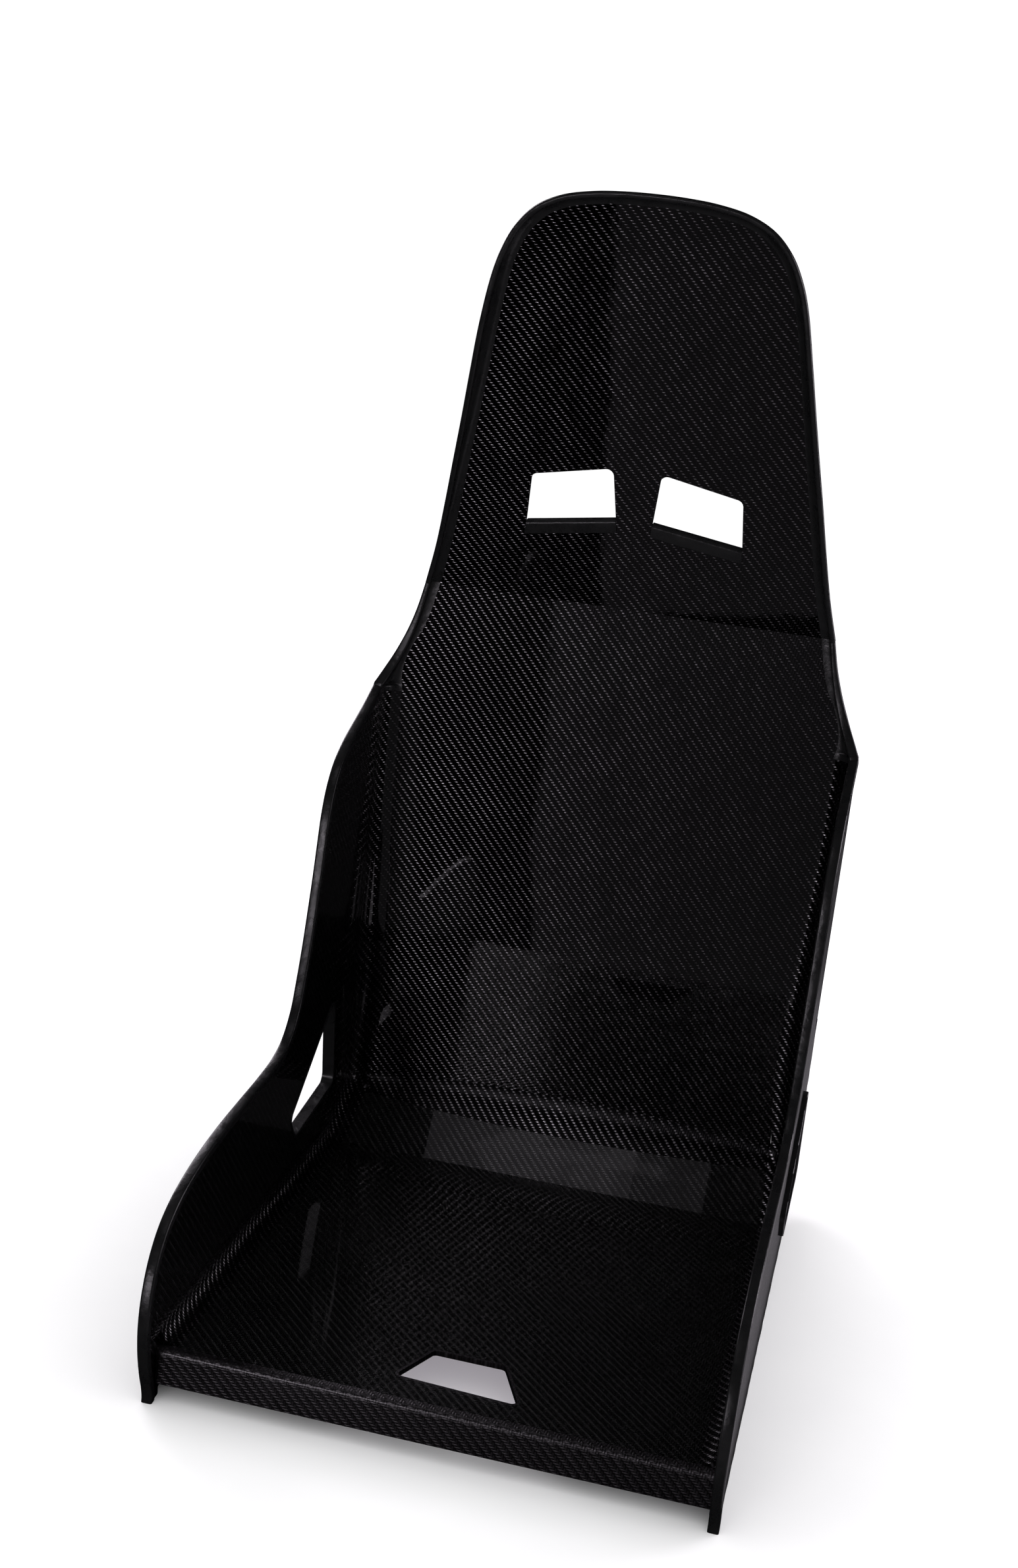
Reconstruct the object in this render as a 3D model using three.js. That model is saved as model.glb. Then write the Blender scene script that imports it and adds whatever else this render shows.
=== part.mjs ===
// Composite bucket racing seat, millimetres, +Z up, the sitter faces -Y.
// The origin lies on the floor, in the middle of the footprint.
import * as THREE from 'three';

// ---- bucket profile, seen from the side (Y, Z of the inner surface) ----
const PAN_FRONT = [-23, 43];
const PAN_REAR = [385, 8.5];
const BACK_FOOT = [447, 40.3];
const BACK_KINK = [469.9, 511.4];
const HEAD_TOP = [379.2, 857.3];

// ---- wall thicknesses and joints ----
const JOINT_GAP = 0.3;
const FLOOR_INNER = 1.8;
const FLOOR_OUTER = 1.4;
const FLOOR_TOTAL = FLOOR_INNER + JOINT_GAP + FLOOR_OUTER;
const WALL_INNER_X = 203.5;
const WALL_SKIN = 3;
const WALL_OUTER_X = WALL_INNER_X + 2 * WALL_SKIN + JOINT_GAP;

// ---- fillets between the floor of the bucket and its side walls ----
const PAN_FILLET = 13.5;
const CREASE_FILLET = 14;
const FOOT_FILLET = 18;
const BACK_FILLET = [[57, 18], [120, 24], [193, 22.5], [318, 15.5], [390, 14.5], [419, 14.5]];
const RAMP_FILLET = 15.3;
const FILLET_STEPS = 6;
const PAN_FILLET_STEPS = 4;
// share of the ramp over which the crease fillet grows into the ramp fillet
const RAMP_BLEND = 1 / 3;

// ---- rear ramp and the cloth band between ramp and back ----
const BAND_TANGENT_MIDDLE = 20.5;
const BAND_TANGENT_EDGE = 11.6;
const BAND_STEPS = 7;
const BAND_COLUMNS = 14;

// ---- front apron ----
const APRON_HALF = 203.2;
const APRON_BOTTOM_Z = 14;
const APRON_THICKNESS = 3;
const FOLD_RADIUS = 4;
const FOLD_SHELF = 8;
const FOLD_STEPS = 6;

// ---- crotch strap slot, on the pan plane (x, distance from the front) ----
const CROTCH_SLOT = [[-35, 36.5], [57.5, 31], [36.5, 81.5], [-17, 81.5]];
const CROTCH_EDGE = 2.2;
const CROTCH_CORNER = 4;

// ---- shoulder belt slots, on the head plane (x, distance above the kink) ----
const SHOULDER_SLOT = [[15.3, 82], [91.3, 70], [88.2, 113], [20, 127]];
const SHOULDER_CORNER = 6;
const SHOULDER_FOOT_CORNER = 1;
const SHOULDER_LIP_HEIGHT = 12;
const SHOULDER_LIP_BACK = 9;
const SHOULDER_LIP_FRONT = 1.2;
const SHOULDER_LIP_ROUND = 3.4;
const SHOULDER_LIP_CLEARANCE = 0.7;

// ---- lap belt slots, on the side wall (Y, Z) ----
const LAP_SLOT = [[268, 84], [284, 61], [388, 64], [374, 151]];
const LAP_CORNER = 7;
const LAP_COLLAR = 2.6;
const LAP_COLLAR_OUT = 4;
const LAP_COLLAR_IN = 0.6;

// ---- outlines ----
// outer rim of the side wall, from the shoulder forward and down to the front foot (Y, Z)
const WALL_RIM = [
  [446, 419], [420, 409], [392, 400], [365, 391], [341, 378], [325, 360], [316, 340], [310.5, 317],
  [304.5, 290], [297, 262], [288.5, 233], [279, 207], [268, 183], [250, 166], [228, 159], [195, 157.3],
  [150, 158], [110, 158.3], [70, 156.5], [36, 152], [9, 145], [-12, 134], [-28, 117], [-38, 96],
  [-42.5, 74], [-41.5, 50], [-36, 27], [-31, 13], [-29, 5], [-29, 0],
];
// outer rim of the shoulder: height, half width, rise of the rim above the back
const SHOULDER_RIM = [
  [511.4, 176.5, 6], [487, 182, 6], [467, 188.5, 6.5], [447, 197, 9], [434, 203.5, 12.5], [425, 208, 16.5],
  [419, 210.8, 20.8],
];
// rows below the rim where the wall takes over from the shoulder fillet
const SHOULDER_END = [[415.5, 210.8, 30], [411, 210.8, 41]];
// outer rim of the head: half width, distance above the kink, rise above the head plane
const HEAD_RIM = [
  [176.5, 0, 6], [167.8, 37, 6.5], [160.2, 78, 8.5], [153.4, 118, 10.5], [146.2, 159, 13.5],
  [139.3, 200, 17], [132.4, 241, 19], [124.5, 281, 16], [118, 302, 14], [108, 322, 12.5],
  [93, 338.5, 11.5], [73, 349, 11], [48, 354.5, 10.5], [24, 356.7, 10.5], [0, 357.3, 10.5],
];
const FLANGE_WIDTH = 12;
const HEAD_BEAD = [4.6, 4];
const BEAD_PROUD = 1;
const WALL_BEAD = [WALL_OUTER_X - WALL_INNER_X + 1.9, 6];
const BEAD_ROUND = 1.5;
const BEAD_CUT = 0.35;
const HIP_SPLIT = 12;
const SPLIT_HEIGHT = 178;
const FOOT_LEG_Y = -15;
const SIDE_REAR_BOTTOM = [[405, 0], [432, 8], [446, 24]];
// heights at which the fillets beside the back are sampled
const BACK_LEVELS = [80, 100, 120, 150, SPLIT_HEIGHT, 193, 225, 260, 318, 355, 390];
const SHOULDER_TOP_MITRE = 24;
const HEAD_SAMPLES = 64;
const WALL_SAMPLES = 72;
const SHOULDER_SAMPLES = 15;
const RIM_CLEARANCE = 0.7;

const COLOURS = {
  gloss_twill: 0x131416,
  fillet_twill: 0x1a1b1d,
  satin_twill: 0x2a2b2e,
  raw_skin: 0x242426,
  smooth_edge: 0x0b0b0c,
};
const GLOSSY = ['gloss_twill', 'fillet_twill'];

// ---------------------------------------------------------------- helpers

function direction(from, to) {
  return Math.atan2(to[1] - from[1], to[0] - from[0]);
}

function distance(from, to) {
  return Math.hypot(to[0] - from[0], to[1] - from[1]);
}

function lerp(a, b, t) {
  return a + (b - a) * t;
}

// value of a table [[key, value], ...] at one key, straight lines in between
function table(rows, key, column = 1) {
  const last = rows.length - 1;
  const rising = rows[last][0] > rows[0][0];
  const inOrder = rising ? rows : [...rows].reverse();
  if (key <= inOrder[0][0]) return inOrder[0][column];
  for (let i = 1; i <= last; i += 1) {
    const [a, b] = [inOrder[i - 1], inOrder[i]];
    if (key <= b[0]) return lerp(a[column], b[column], (key - a[0]) / (b[0] - a[0]));
  }
  return inOrder[last][column];
}

// a facet of the bucket: x across, s along, n towards the sitter; ends are mitred by their half angles
function facet(from, to, mitreStart, mitreEnd) {
  const angle = direction(from, to);
  const length = distance(from, to);
  const [along, up] = [Math.cos(angle), Math.sin(angle)];
  const place = (x, s, n) => {
    const t = s / length;
    const shifted = s + n * (Math.tan(mitreStart) * (1 - t) - Math.tan(mitreEnd) * t);
    return new THREE.Vector3(x, from[0] + shifted * along - n * up, from[1] + shifted * up + n * along);
  };
  return { angle, length, place };
}

// smooth curve through 2-D or 3-D control points
function smooth(points, samples) {
  const curve = new THREE.CatmullRomCurve3(points.map((p) => new THREE.Vector3(p[0], p[1], p[2] ?? 0)));
  return curve.getPoints(samples);
}

// closed body from vertices and triangles, turned so that every face looks outwards
function body(vertices, triangles) {
  let volume = 0;
  for (const [a, b, c] of triangles) {
    volume += vertices[a].dot(new THREE.Vector3().crossVectors(vertices[b], vertices[c]));
  }
  const outward = volume > 0 ? triangles : triangles.map(([a, b, c]) => [a, c, b]);
  const geometry = new THREE.BufferGeometry();
  const numbers = vertices.flatMap((v) => [v.x, v.y, v.z]);
  geometry.setAttribute('position', new THREE.Float32BufferAttribute(numbers, 3));
  geometry.setIndex(outward.flat());
  return geometry;
}

// triangles over an outline, turning the same way as the outline itself
function capTriangles(contour, holes = []) {
  const triangles = THREE.ShapeUtils.triangulateShape(contour, holes);
  return THREE.ShapeUtils.isClockWise(contour) ? triangles.map(([a, b, c]) => [a, c, b]) : triangles;
}

function anticlockwise(loop, wanted) {
  const area = THREE.ShapeUtils.area(loop);
  return area > 0 === wanted ? loop : [...loop].reverse();
}

// straight prism over an outline with holes; place(u, v, w) gives the point in space
function prism(outline, holes, place, low, high) {
  const loops = [anticlockwise(outline, true), ...holes.map((hole) => anticlockwise(hole, false))];
  const flat = loops.flat();
  const vertices = [low, high].flatMap((w) => flat.map((p) => place(p.x, p.y, w)));
  const count = flat.length;
  const cap = capTriangles(loops[0], loops.slice(1));
  const triangles = cap.flatMap(([a, b, c]) => [[a, c, b], [a + count, b + count, c + count]]);
  let start = 0;
  for (const loop of loops) {
    for (let i = 0; i < loop.length; i += 1) {
      const a = start + i;
      const b = start + ((i + 1) % loop.length);
      triangles.push([a, b, b + count], [a, b + count, a + count]);
    }
    start += loop.length;
  }
  return body(vertices, triangles);
}

// body through a row of closed rings of equal length
function loft(rings, contour) {
  const size = rings[0].length;
  const triangles = [];
  for (let r = 0; r + 1 < rings.length; r += 1) {
    for (let i = 0; i < size; i += 1) {
      const j = (i + 1) % size;
      const [a, b] = [r * size + i, r * size + j];
      triangles.push([a, b, b + size], [a, b + size, a + size]);
    }
  }
  const offset = (rings.length - 1) * size;
  for (const [a, b, c] of capTriangles(contour)) {
    triangles.push([a, c, b], [a + offset, b + offset, c + offset]);
  }
  return body(rings.flat(), triangles);
}

function mirrored(geometry) {
  const copy = geometry.clone();
  const position = copy.getAttribute('position');
  for (let i = 0; i < position.count; i += 1) position.setX(i, -position.getX(i));
  const index = Array.from(copy.getIndex().array);
  for (let i = 0; i < index.length; i += 3) [index[i + 1], index[i + 2]] = [index[i + 2], index[i + 1]];
  copy.setIndex(index);
  return copy;
}

// polygon with rounded corners; radii is one radius, or a list with one per corner
function rounded(corners, radii, steps = 4) {
  const loop = [];
  corners.forEach((corner, i) => {
    const radius = radii[i] ?? radii;
    const here = new THREE.Vector2(...corner);
    const before = new THREE.Vector2(...corners.at(i - 1)).sub(here).normalize();
    const after = new THREE.Vector2(...corners[(i + 1) % corners.length]).sub(here).normalize();
    const half = Math.acos(THREE.MathUtils.clamp(before.dot(after), -1, 1)) / 2;
    const reach = radius / Math.tan(half);
    const centre = before.clone().add(after).normalize().multiplyScalar(radius / Math.sin(half)).add(here);
    const start = before.multiplyScalar(reach).add(here).sub(centre);
    const end = after.multiplyScalar(reach).add(here).sub(centre);
    const turn = Math.atan2(start.x * end.y - start.y * end.x, start.dot(end));
    for (let k = 0; k <= steps; k += 1) {
      loop.push(start.clone().rotateAround(new THREE.Vector2(), (turn * k) / steps).add(centre));
    }
  });
  return loop;
}

// polygon moved outwards by a distance, straight corners
function grown(corners, amount) {
  const loop = anticlockwise(corners.map((c) => new THREE.Vector2(...c)), true);
  return loop.map((here, i) => {
    const before = loop.at(i - 1);
    const after = loop[(i + 1) % loop.length];
    const n1 = new THREE.Vector2(here.y - before.y, before.x - here.x).normalize();
    const n2 = new THREE.Vector2(after.y - here.y, here.x - after.x).normalize();
    const bisector = n1.clone().add(n2).normalize();
    const moved = here.clone().addScaledVector(bisector, amount / bisector.dot(n1));
    return [moved.x, moved.y];
  });
}

// ---------------------------------------------------------------- profile

const panAngle = direction(PAN_FRONT, PAN_REAR);
const rampAngle = direction(PAN_REAR, BACK_FOOT);
const backAngle = direction(BACK_FOOT, BACK_KINK);
const headAngle = direction(BACK_KINK, HEAD_TOP);
const creaseHalf = (rampAngle - panAngle) / 2;
const footHalf = (backAngle - rampAngle) / 2;
const kinkHalf = (headAngle - backAngle) / 2;
const pan = facet(PAN_FRONT, PAN_REAR, 0, creaseHalf);
const ramp = facet(PAN_REAR, BACK_FOOT, creaseHalf, 0);
const back = facet(BACK_FOOT, BACK_KINK, 0, kinkHalf);
const head = facet(BACK_KINK, HEAD_TOP, kinkHalf, 0);

function backDistance(height) {
  return (height - BACK_FOOT[1]) / Math.sin(back.angle);
}

function backFillet(height) {
  return table(BACK_FILLET, height);
}

const bandHalf = WALL_INNER_X - FOOT_FILLET;

function bandTangent(x) {
  return lerp(BAND_TANGENT_MIDDLE, BAND_TANGENT_EDGE, (x / bandHalf) ** 2);
}

function bandRadius(x) {
  return bandTangent(x) / Math.tan(footHalf);
}

function pointOn(start, angle, s) {
  return [start[0] + s * Math.cos(angle), start[1] + s * Math.sin(angle)];
}

// centre of the arc that joins ramp and back, for one tangent length
function arcCentre(tangent, radius) {
  const from = pointOn(PAN_REAR, rampAngle, ramp.length - tangent);
  return [from[0] - radius * Math.sin(rampAngle), from[1] + radius * Math.cos(rampAngle)];
}

// ---------------------------------------------------------------- floor of the bucket

function panOutline(start) {
  const half = WALL_INNER_X - PAN_FILLET - JOINT_GAP;
  const rearHalf = WALL_INNER_X - CREASE_FILLET - JOINT_GAP;
  const end = pan.length - JOINT_GAP / 2;
  const corners = [[-half, start], [half, start], [rearHalf, end], [-rearHalf, end]];
  return corners.map((p) => new THREE.Vector2(...p));
}

function basePan() {
  const hole = rounded(grown(CROTCH_SLOT, CROTCH_EDGE + JOINT_GAP), CROTCH_CORNER + CROTCH_EDGE);
  return prism(panOutline(FOLD_SHELF + JOINT_GAP), [hole], pan.place, -FLOOR_INNER, 0);
}

function baseOuterSkin() {
  const hole = rounded(grown(CROTCH_SLOT, CROTCH_EDGE + JOINT_GAP), CROTCH_CORNER + CROTCH_EDGE);
  const outline = panOutline(FOLD_SHELF + JOINT_GAP);
  return prism(outline, [hole], pan.place, -FLOOR_TOTAL, -FLOOR_INNER - JOINT_GAP);
}

function crotchSlotEdge() {
  const outside = rounded(grown(CROTCH_SLOT, CROTCH_EDGE), CROTCH_CORNER + CROTCH_EDGE);
  const inside = rounded(CROTCH_SLOT, CROTCH_CORNER);
  return prism(outside, [inside], pan.place, -FLOOR_TOTAL - JOINT_GAP, JOINT_GAP);
}

// outline of a facet whose long edge follows the arched cloth band
function arched(half, reach, towards) {
  const points = [];
  for (let i = 0; i <= BAND_COLUMNS; i += 1) {
    const x = lerp(-half, half, i / BAND_COLUMNS);
    points.push(new THREE.Vector2(x, reach + towards * (bandTangent(x) + JOINT_GAP)));
  }
  return points;
}

function rearRamp() {
  const start = JOINT_GAP / 2;
  const front = WALL_INNER_X - CREASE_FILLET - JOINT_GAP;
  const rear = WALL_INNER_X - FOOT_FILLET - JOINT_GAP;
  const outline = [new THREE.Vector2(-front, start), new THREE.Vector2(front, start)];
  outline.push(...arched(rear, ramp.length, -1).reverse());
  return prism(outline, [], ramp.place, -FLOOR_TOTAL, 0);
}

function rampBand() {
  const rings = [];
  const half = bandHalf - JOINT_GAP;
  const sweep = backAngle - rampAngle;
  const arc = (x, radius, step) => {
    const [y, z] = arcCentre(bandTangent(x), bandRadius(x));
    const angle = rampAngle - Math.PI / 2 + (sweep * step) / BAND_STEPS;
    return new THREE.Vector3(x, y + radius * Math.cos(angle), z + radius * Math.sin(angle));
  };
  for (let i = 0; i <= BAND_COLUMNS; i += 1) {
    const x = lerp(-half, half, i / BAND_COLUMNS);
    const ring = [];
    for (let k = 0; k <= BAND_STEPS; k += 1) ring.push(arc(x, bandRadius(x), k));
    for (let k = BAND_STEPS; k >= 0; k -= 1) ring.push(arc(x, bandRadius(x) + FLOOR_TOTAL, k));
    rings.push(ring);
  }
  return loft(rings, rings[0].map((p) => new THREE.Vector2(p.y, p.z)));
}

// half width of the flat part of the back at one height
function flatHalf(height) {
  const lowest = SHOULDER_END.at(-1)[0];
  if (height <= lowest) return WALL_INNER_X - backFillet(height);
  const rim = table(shoulderRows(), height);
  const blend = Math.min(1, (height - lowest) / (SHOULDER_RIM[2][0] - lowest));
  return lerp(WALL_INNER_X - backFillet(lowest), rim - FLANGE_WIDTH, blend);
}

function backOutline(fromHeight) {
  const upper = shoulderRows().map(([height]) => height).reverse();
  const side = [fromHeight, ...BACK_LEVELS, ...upper].map((height) => {
    const s = Math.min(backDistance(height), back.length - JOINT_GAP / 2);
    return new THREE.Vector2(flatHalf(height) - JOINT_GAP, s);
  });
  const bottom = arched(side[0].x, 0, 1).slice(1, -1);
  const left = side.map((p) => new THREE.Vector2(-p.x, p.y)).reverse();
  return [...side, ...left, ...bottom];
}

function lowerBackPanel() {
  const lowest = BACK_FOOT[1] + (BAND_TANGENT_EDGE + JOINT_GAP) * Math.sin(back.angle);
  return prism(backOutline(lowest), [], back.place, -FLOOR_INNER, 0);
}

function lowerBackOuterSkin() {
  const lowest = BACK_FOOT[1] + (BAND_TANGENT_EDGE + JOINT_GAP) * Math.sin(back.angle);
  return prism(backOutline(lowest), [], back.place, -FLOOR_TOTAL, -FLOOR_INNER - JOINT_GAP);
}

// ---------------------------------------------------------------- head

// smooth head rim from the right of the kink over the top to the left of the kink
function headRimPath() {
  const right = HEAD_RIM.map((p) => [...p]);
  const left = HEAD_RIM.slice(0, -1).reverse().map(([x, s, rise]) => [-x, s, rise]);
  return smooth([...right, ...left], HEAD_SAMPLES);
}

// outward unit normals of a path in its own plane
function pathNormals(path) {
  return path.map((_, i) => {
    const before = path[Math.max(0, i - 1)];
    const after = path[Math.min(path.length - 1, i + 1)];
    return new THREE.Vector2(after.y - before.y, before.x - after.x).normalize();
  });
}

function headOutline(inset) {
  const path = headRimPath();
  const normals = pathNormals(path);
  const loop = path.map((p, i) => new THREE.Vector2(p.x - normals[i].x * inset, p.y - normals[i].y * inset));
  loop[0].y = JOINT_GAP / 2;
  loop.at(-1).y = JOINT_GAP / 2;
  return loop;
}

// the slot with its sides carried on downwards, to make room for the lip in its foot
function shoulderSlotHole(side) {
  const [innerFoot, outerFoot, outerTop, innerTop] = SHOULDER_SLOT;
  const carried = ([x, s], [topX, topS]) => {
    return [lerp(x, topX, -SHOULDER_LIP_HEIGHT / (topS - s)), s - SHOULDER_LIP_HEIGHT];
  };
  const corners = [carried(innerFoot, innerTop), carried(outerFoot, outerTop), outerTop, innerTop];
  const radii = [SHOULDER_FOOT_CORNER, SHOULDER_FOOT_CORNER, SHOULDER_CORNER, SHOULDER_CORNER];
  return rounded(corners.map(([x, s]) => [side * x, s]), radii);
}

function headPanel() {
  const holes = [shoulderSlotHole(1), shoulderSlotHole(-1)];
  return prism(headOutline(FLANGE_WIDTH + JOINT_GAP), holes, head.place, -FLOOR_INNER, 0);
}

function headOuterSkin() {
  const holes = [shoulderSlotHole(1), shoulderSlotHole(-1)];
  const outline = headOutline(FLANGE_WIDTH + JOINT_GAP);
  return prism(outline, holes, head.place, -FLOOR_TOTAL, -FLOOR_INNER - JOINT_GAP);
}

// quarter-ellipse strip, inner and outer line, as (across, rise) pairs around the section
function stripSection(start, innerEnd, outerEnd, innerRise, outerRise, thickness) {
  const section = [];
  for (let k = 0; k <= FILLET_STEPS; k += 1) {
    const phi = (Math.PI / 2) * (k / FILLET_STEPS);
    section.push([lerp(start, innerEnd, Math.sin(phi)), innerRise * (1 - Math.cos(phi))]);
  }
  for (let k = FILLET_STEPS; k >= 0; k -= 1) {
    const phi = (Math.PI / 2) * (k / FILLET_STEPS);
    const rise = (outerRise + thickness) * (1 - Math.cos(phi)) - thickness;
    section.push([lerp(start, outerEnd, Math.sin(phi)), rise]);
  }
  return section;
}

function headFlange() {
  const path = headRimPath();
  const normals = pathNormals(path);
  const [width, height] = HEAD_BEAD;
  let contour = null;
  const rings = path.map((p, i) => {
    const rise = p.z - height - JOINT_GAP;
    const section = stripSection(-FLANGE_WIDTH, BEAD_PROUD - width, -BEAD_PROUD, rise, rise, FLOOR_TOTAL);
    contour = contour ?? section.map((q) => new THREE.Vector2(...q));
    return section.map(([e, n]) => {
      const s = Math.max(p.y + normals[i].y * e, JOINT_GAP / 2);
      return head.place(p.x + normals[i].x * e, s, n);
    });
  });
  return loft(rings, contour);
}

function shoulderSlotLip() {
  const [inner, outer] = SHOULDER_SLOT;
  const slope = (outer[1] - inner[1]) / (outer[0] - inner[0]);
  const [front, rear, round] = [SHOULDER_LIP_FRONT, -SHOULDER_LIP_BACK, SHOULDER_LIP_ROUND];
  const foot = SHOULDER_LIP_CLEARANCE - SHOULDER_LIP_HEIGHT;
  const cut = round * (1 - Math.SQRT1_2);
  const section = [
    [front, foot], [front, -round], [front - cut, -cut], [front - round, 0],
    [rear + round, 0], [rear + cut, -cut], [rear, -round], [rear, foot],
  ];
  const ends = [inner[0] + SHOULDER_LIP_CLEARANCE, outer[0] - SHOULDER_LIP_CLEARANCE];
  const rings = ends.map((x) => section.map(([n, up]) => {
    return head.place(x, inner[1] + slope * (x - inner[0]) + up, n);
  }));
  return loft(rings, section.map((p) => new THREE.Vector2(...p)));
}

// ---------------------------------------------------------------- fillets on the right side

// ring of a fillet section standing on the profile point, tilted by angle, stretched by scale
function filletRing(point, angle, scale, radius, wall, floorThickness) {
  const start = WALL_INNER_X - radius;
  const section = stripSection(start, WALL_INNER_X, WALL_INNER_X + wall, radius, radius, floorThickness);
  return section.map(([x, n]) => {
    const rise = n * scale;
    return new THREE.Vector3(x, point[0] - rise * Math.sin(angle), point[1] + rise * Math.cos(angle));
  });
}

function filletContour() {
  const radius = BACK_FILLET[0][1];
  const section = stripSection(0, radius, radius + WALL_SKIN, radius, radius, FLOOR_TOTAL);
  return section.map((p) => new THREE.Vector2(...p));
}

function baseFillet() {
  const rings = [];
  const start = FOLD_SHELF + JOINT_GAP;
  const scale = 1 / Math.cos(creaseHalf);
  for (let i = 0; i < PAN_FILLET_STEPS; i += 1) {
    const s = lerp(start, pan.length, i / PAN_FILLET_STEPS);
    const radius = lerp(PAN_FILLET, CREASE_FILLET, i / PAN_FILLET_STEPS);
    rings.push(filletRing(pointOn(PAN_FRONT, panAngle, s), panAngle, 1, radius, WALL_SKIN, FLOOR_TOTAL));
  }
  const end = pointOn(PAN_FRONT, panAngle, pan.length - JOINT_GAP / 2);
  rings.push(filletRing(end, panAngle + creaseHalf, scale, CREASE_FILLET, WALL_SKIN, FLOOR_TOTAL));
  return loft(rings, filletContour());
}

function cornerFillet() {
  const rings = [];
  const add = (point, angle, scale, radius) => {
    rings.push(filletRing(point, angle, scale, radius, WALL_SKIN, FLOOR_TOTAL));
  };
  const start = pointOn(PAN_REAR, rampAngle, JOINT_GAP / 2);
  add(start, rampAngle - creaseHalf, 1 / Math.cos(creaseHalf), CREASE_FILLET);
  add(pointOn(PAN_REAR, rampAngle, ramp.length * RAMP_BLEND), rampAngle, 1, RAMP_FILLET);
  const radius = BAND_TANGENT_EDGE / Math.tan(footHalf);
  const centre = arcCentre(BAND_TANGENT_EDGE, radius);
  for (let k = 0; k <= BAND_STEPS; k += 1) {
    const angle = lerp(rampAngle, backAngle, k / BAND_STEPS);
    add([centre[0] + radius * Math.sin(angle), centre[1] - radius * Math.cos(angle)], angle, 1, FOOT_FILLET);
  }
  for (const level of BACK_LEVELS.filter((height) => height <= SPLIT_HEIGHT)) {
    const height = Math.min(level, SPLIT_HEIGHT - JOINT_GAP);
    add(pointOn(BACK_FOOT, backAngle, backDistance(height)), backAngle, 1, backFillet(height));
  }
  return loft(rings, filletContour());
}

function fullFilletRing(height) {
  const radius = backFillet(height);
  const point = pointOn(BACK_FOOT, backAngle, backDistance(height));
  return filletRing(point, backAngle, 1, radius, WALL_OUTER_X - WALL_INNER_X, FLOOR_TOTAL);
}

function backFilletStrip() {
  const top = SHOULDER_END.at(-1)[0] - JOINT_GAP;
  const levels = [...BACK_LEVELS.filter((height) => height >= SPLIT_HEIGHT), top];
  return loft(levels.map(fullFilletRing), filletContour());
}

// shoulder rim as a smooth row of [height, half width, rise]
function shoulderRows() {
  return smooth([...SHOULDER_RIM, ...SHOULDER_END], SHOULDER_SAMPLES).map((p) => [p.x, p.y, p.z]);
}

function shoulderBlend(height) {
  const [top, bottom] = [SHOULDER_RIM[0][0], SHOULDER_RIM.at(-1)[0]];
  const t = THREE.MathUtils.clamp((top - height) / (top - bottom), 0, 1);
  return t * t * (3 - 2 * t);
}

function beadSize(blend) {
  return [lerp(HEAD_BEAD[0], WALL_BEAD[0], blend), lerp(HEAD_BEAD[1], WALL_BEAD[1], blend)];
}

// point beside the upper back; rows near the kink lean towards its mitre plane
function placeShoulder(height, x, n) {
  const lean = kinkHalf * THREE.MathUtils.clamp(1 - (BACK_KINK[1] - height) / SHOULDER_TOP_MITRE, 0, 1);
  const s = Math.min(backDistance(height), back.length - JOINT_GAP / 2);
  const [y, z] = pointOn(BACK_FOOT, backAngle, s);
  const rise = n / Math.cos(lean);
  const angle = backAngle + lean;
  return new THREE.Vector3(x, y - rise * Math.sin(angle), z + rise * Math.cos(angle));
}

function shoulderFillet() {
  const innerInset = [HEAD_BEAD[0] - BEAD_PROUD, WALL_OUTER_X + BEAD_PROUD - WALL_INNER_X];
  const rows = shoulderRows();
  const rings = rows.map(([height, half, rise], i) => {
    const blend = shoulderBlend(height);
    const [, beadHeight] = beadSize(blend);
    const [above, below] = [rows[Math.max(0, i - 1)], rows[Math.min(rows.length - 1, i + 1)]];
    const depth = beadHeight * Math.hypot(1, (below[2] - above[2]) / (below[0] - above[0]));
    const top = Math.min(backFillet(height), rise - depth - RIM_CLEARANCE);
    const thickness = FLOOR_TOTAL;
    const inner = half - lerp(innerInset[0], innerInset[1], blend);
    const section = stripSection(flatHalf(height), inner, half - BEAD_PROUD, top, top, thickness);
    return section.map(([x, n]) => placeShoulder(height, x, n));
  });
  return loft(rings, filletContour());
}

// ---------------------------------------------------------------- side walls

function wallRimPath() {
  return smooth(WALL_RIM, WALL_SAMPLES).map((p) => new THREE.Vector2(p.x, p.y));
}

function rimInset(path, inset) {
  const normals = pathNormals(path);
  return path.map((p, i) => new THREE.Vector2(p.x - normals[i].x * inset, p.y - normals[i].y * inset));
}

// index of the rim sample where the wing ends and the side plate begins
function splitIndex(path) {
  return path.findIndex((p, i) => i > WALL_SAMPLES / 5 && p.y < SPLIT_HEIGHT + HIP_SPLIT);
}

// line just clear of the fillets, from the front of the pan to the shoulder
function wallFoot() {
  const points = [];
  const add = (point, angle, scale, radius) => {
    const rise = (radius + JOINT_GAP) * scale;
    points.push(new THREE.Vector2(point[0] - rise * Math.sin(angle), point[1] + rise * Math.cos(angle)));
  };
  add(pointOn(PAN_FRONT, panAngle, FOLD_SHELF), panAngle, 1, PAN_FILLET);
  add(PAN_REAR, panAngle + creaseHalf, 1 / Math.cos(creaseHalf), CREASE_FILLET);
  add(pointOn(PAN_REAR, rampAngle, ramp.length * RAMP_BLEND), rampAngle, 1, RAMP_FILLET);
  const radius = BAND_TANGENT_EDGE / Math.tan(footHalf);
  const centre = arcCentre(BAND_TANGENT_EDGE, radius);
  for (const t of [0, 0.5, 1]) {
    const angle = lerp(rampAngle, backAngle, t);
    add([centre[0] + radius * Math.sin(angle), centre[1] - radius * Math.cos(angle)], angle, 1, FOOT_FILLET);
  }
  for (const height of [...BACK_LEVELS, SHOULDER_END.at(-1)[0]]) {
    add(pointOn(BACK_FOOT, backAngle, backDistance(height)), backAngle, 1, backFillet(height));
  }
  return points;
}

const placeWall = (y, z, x) => new THREE.Vector3(x, y, z);

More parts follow.
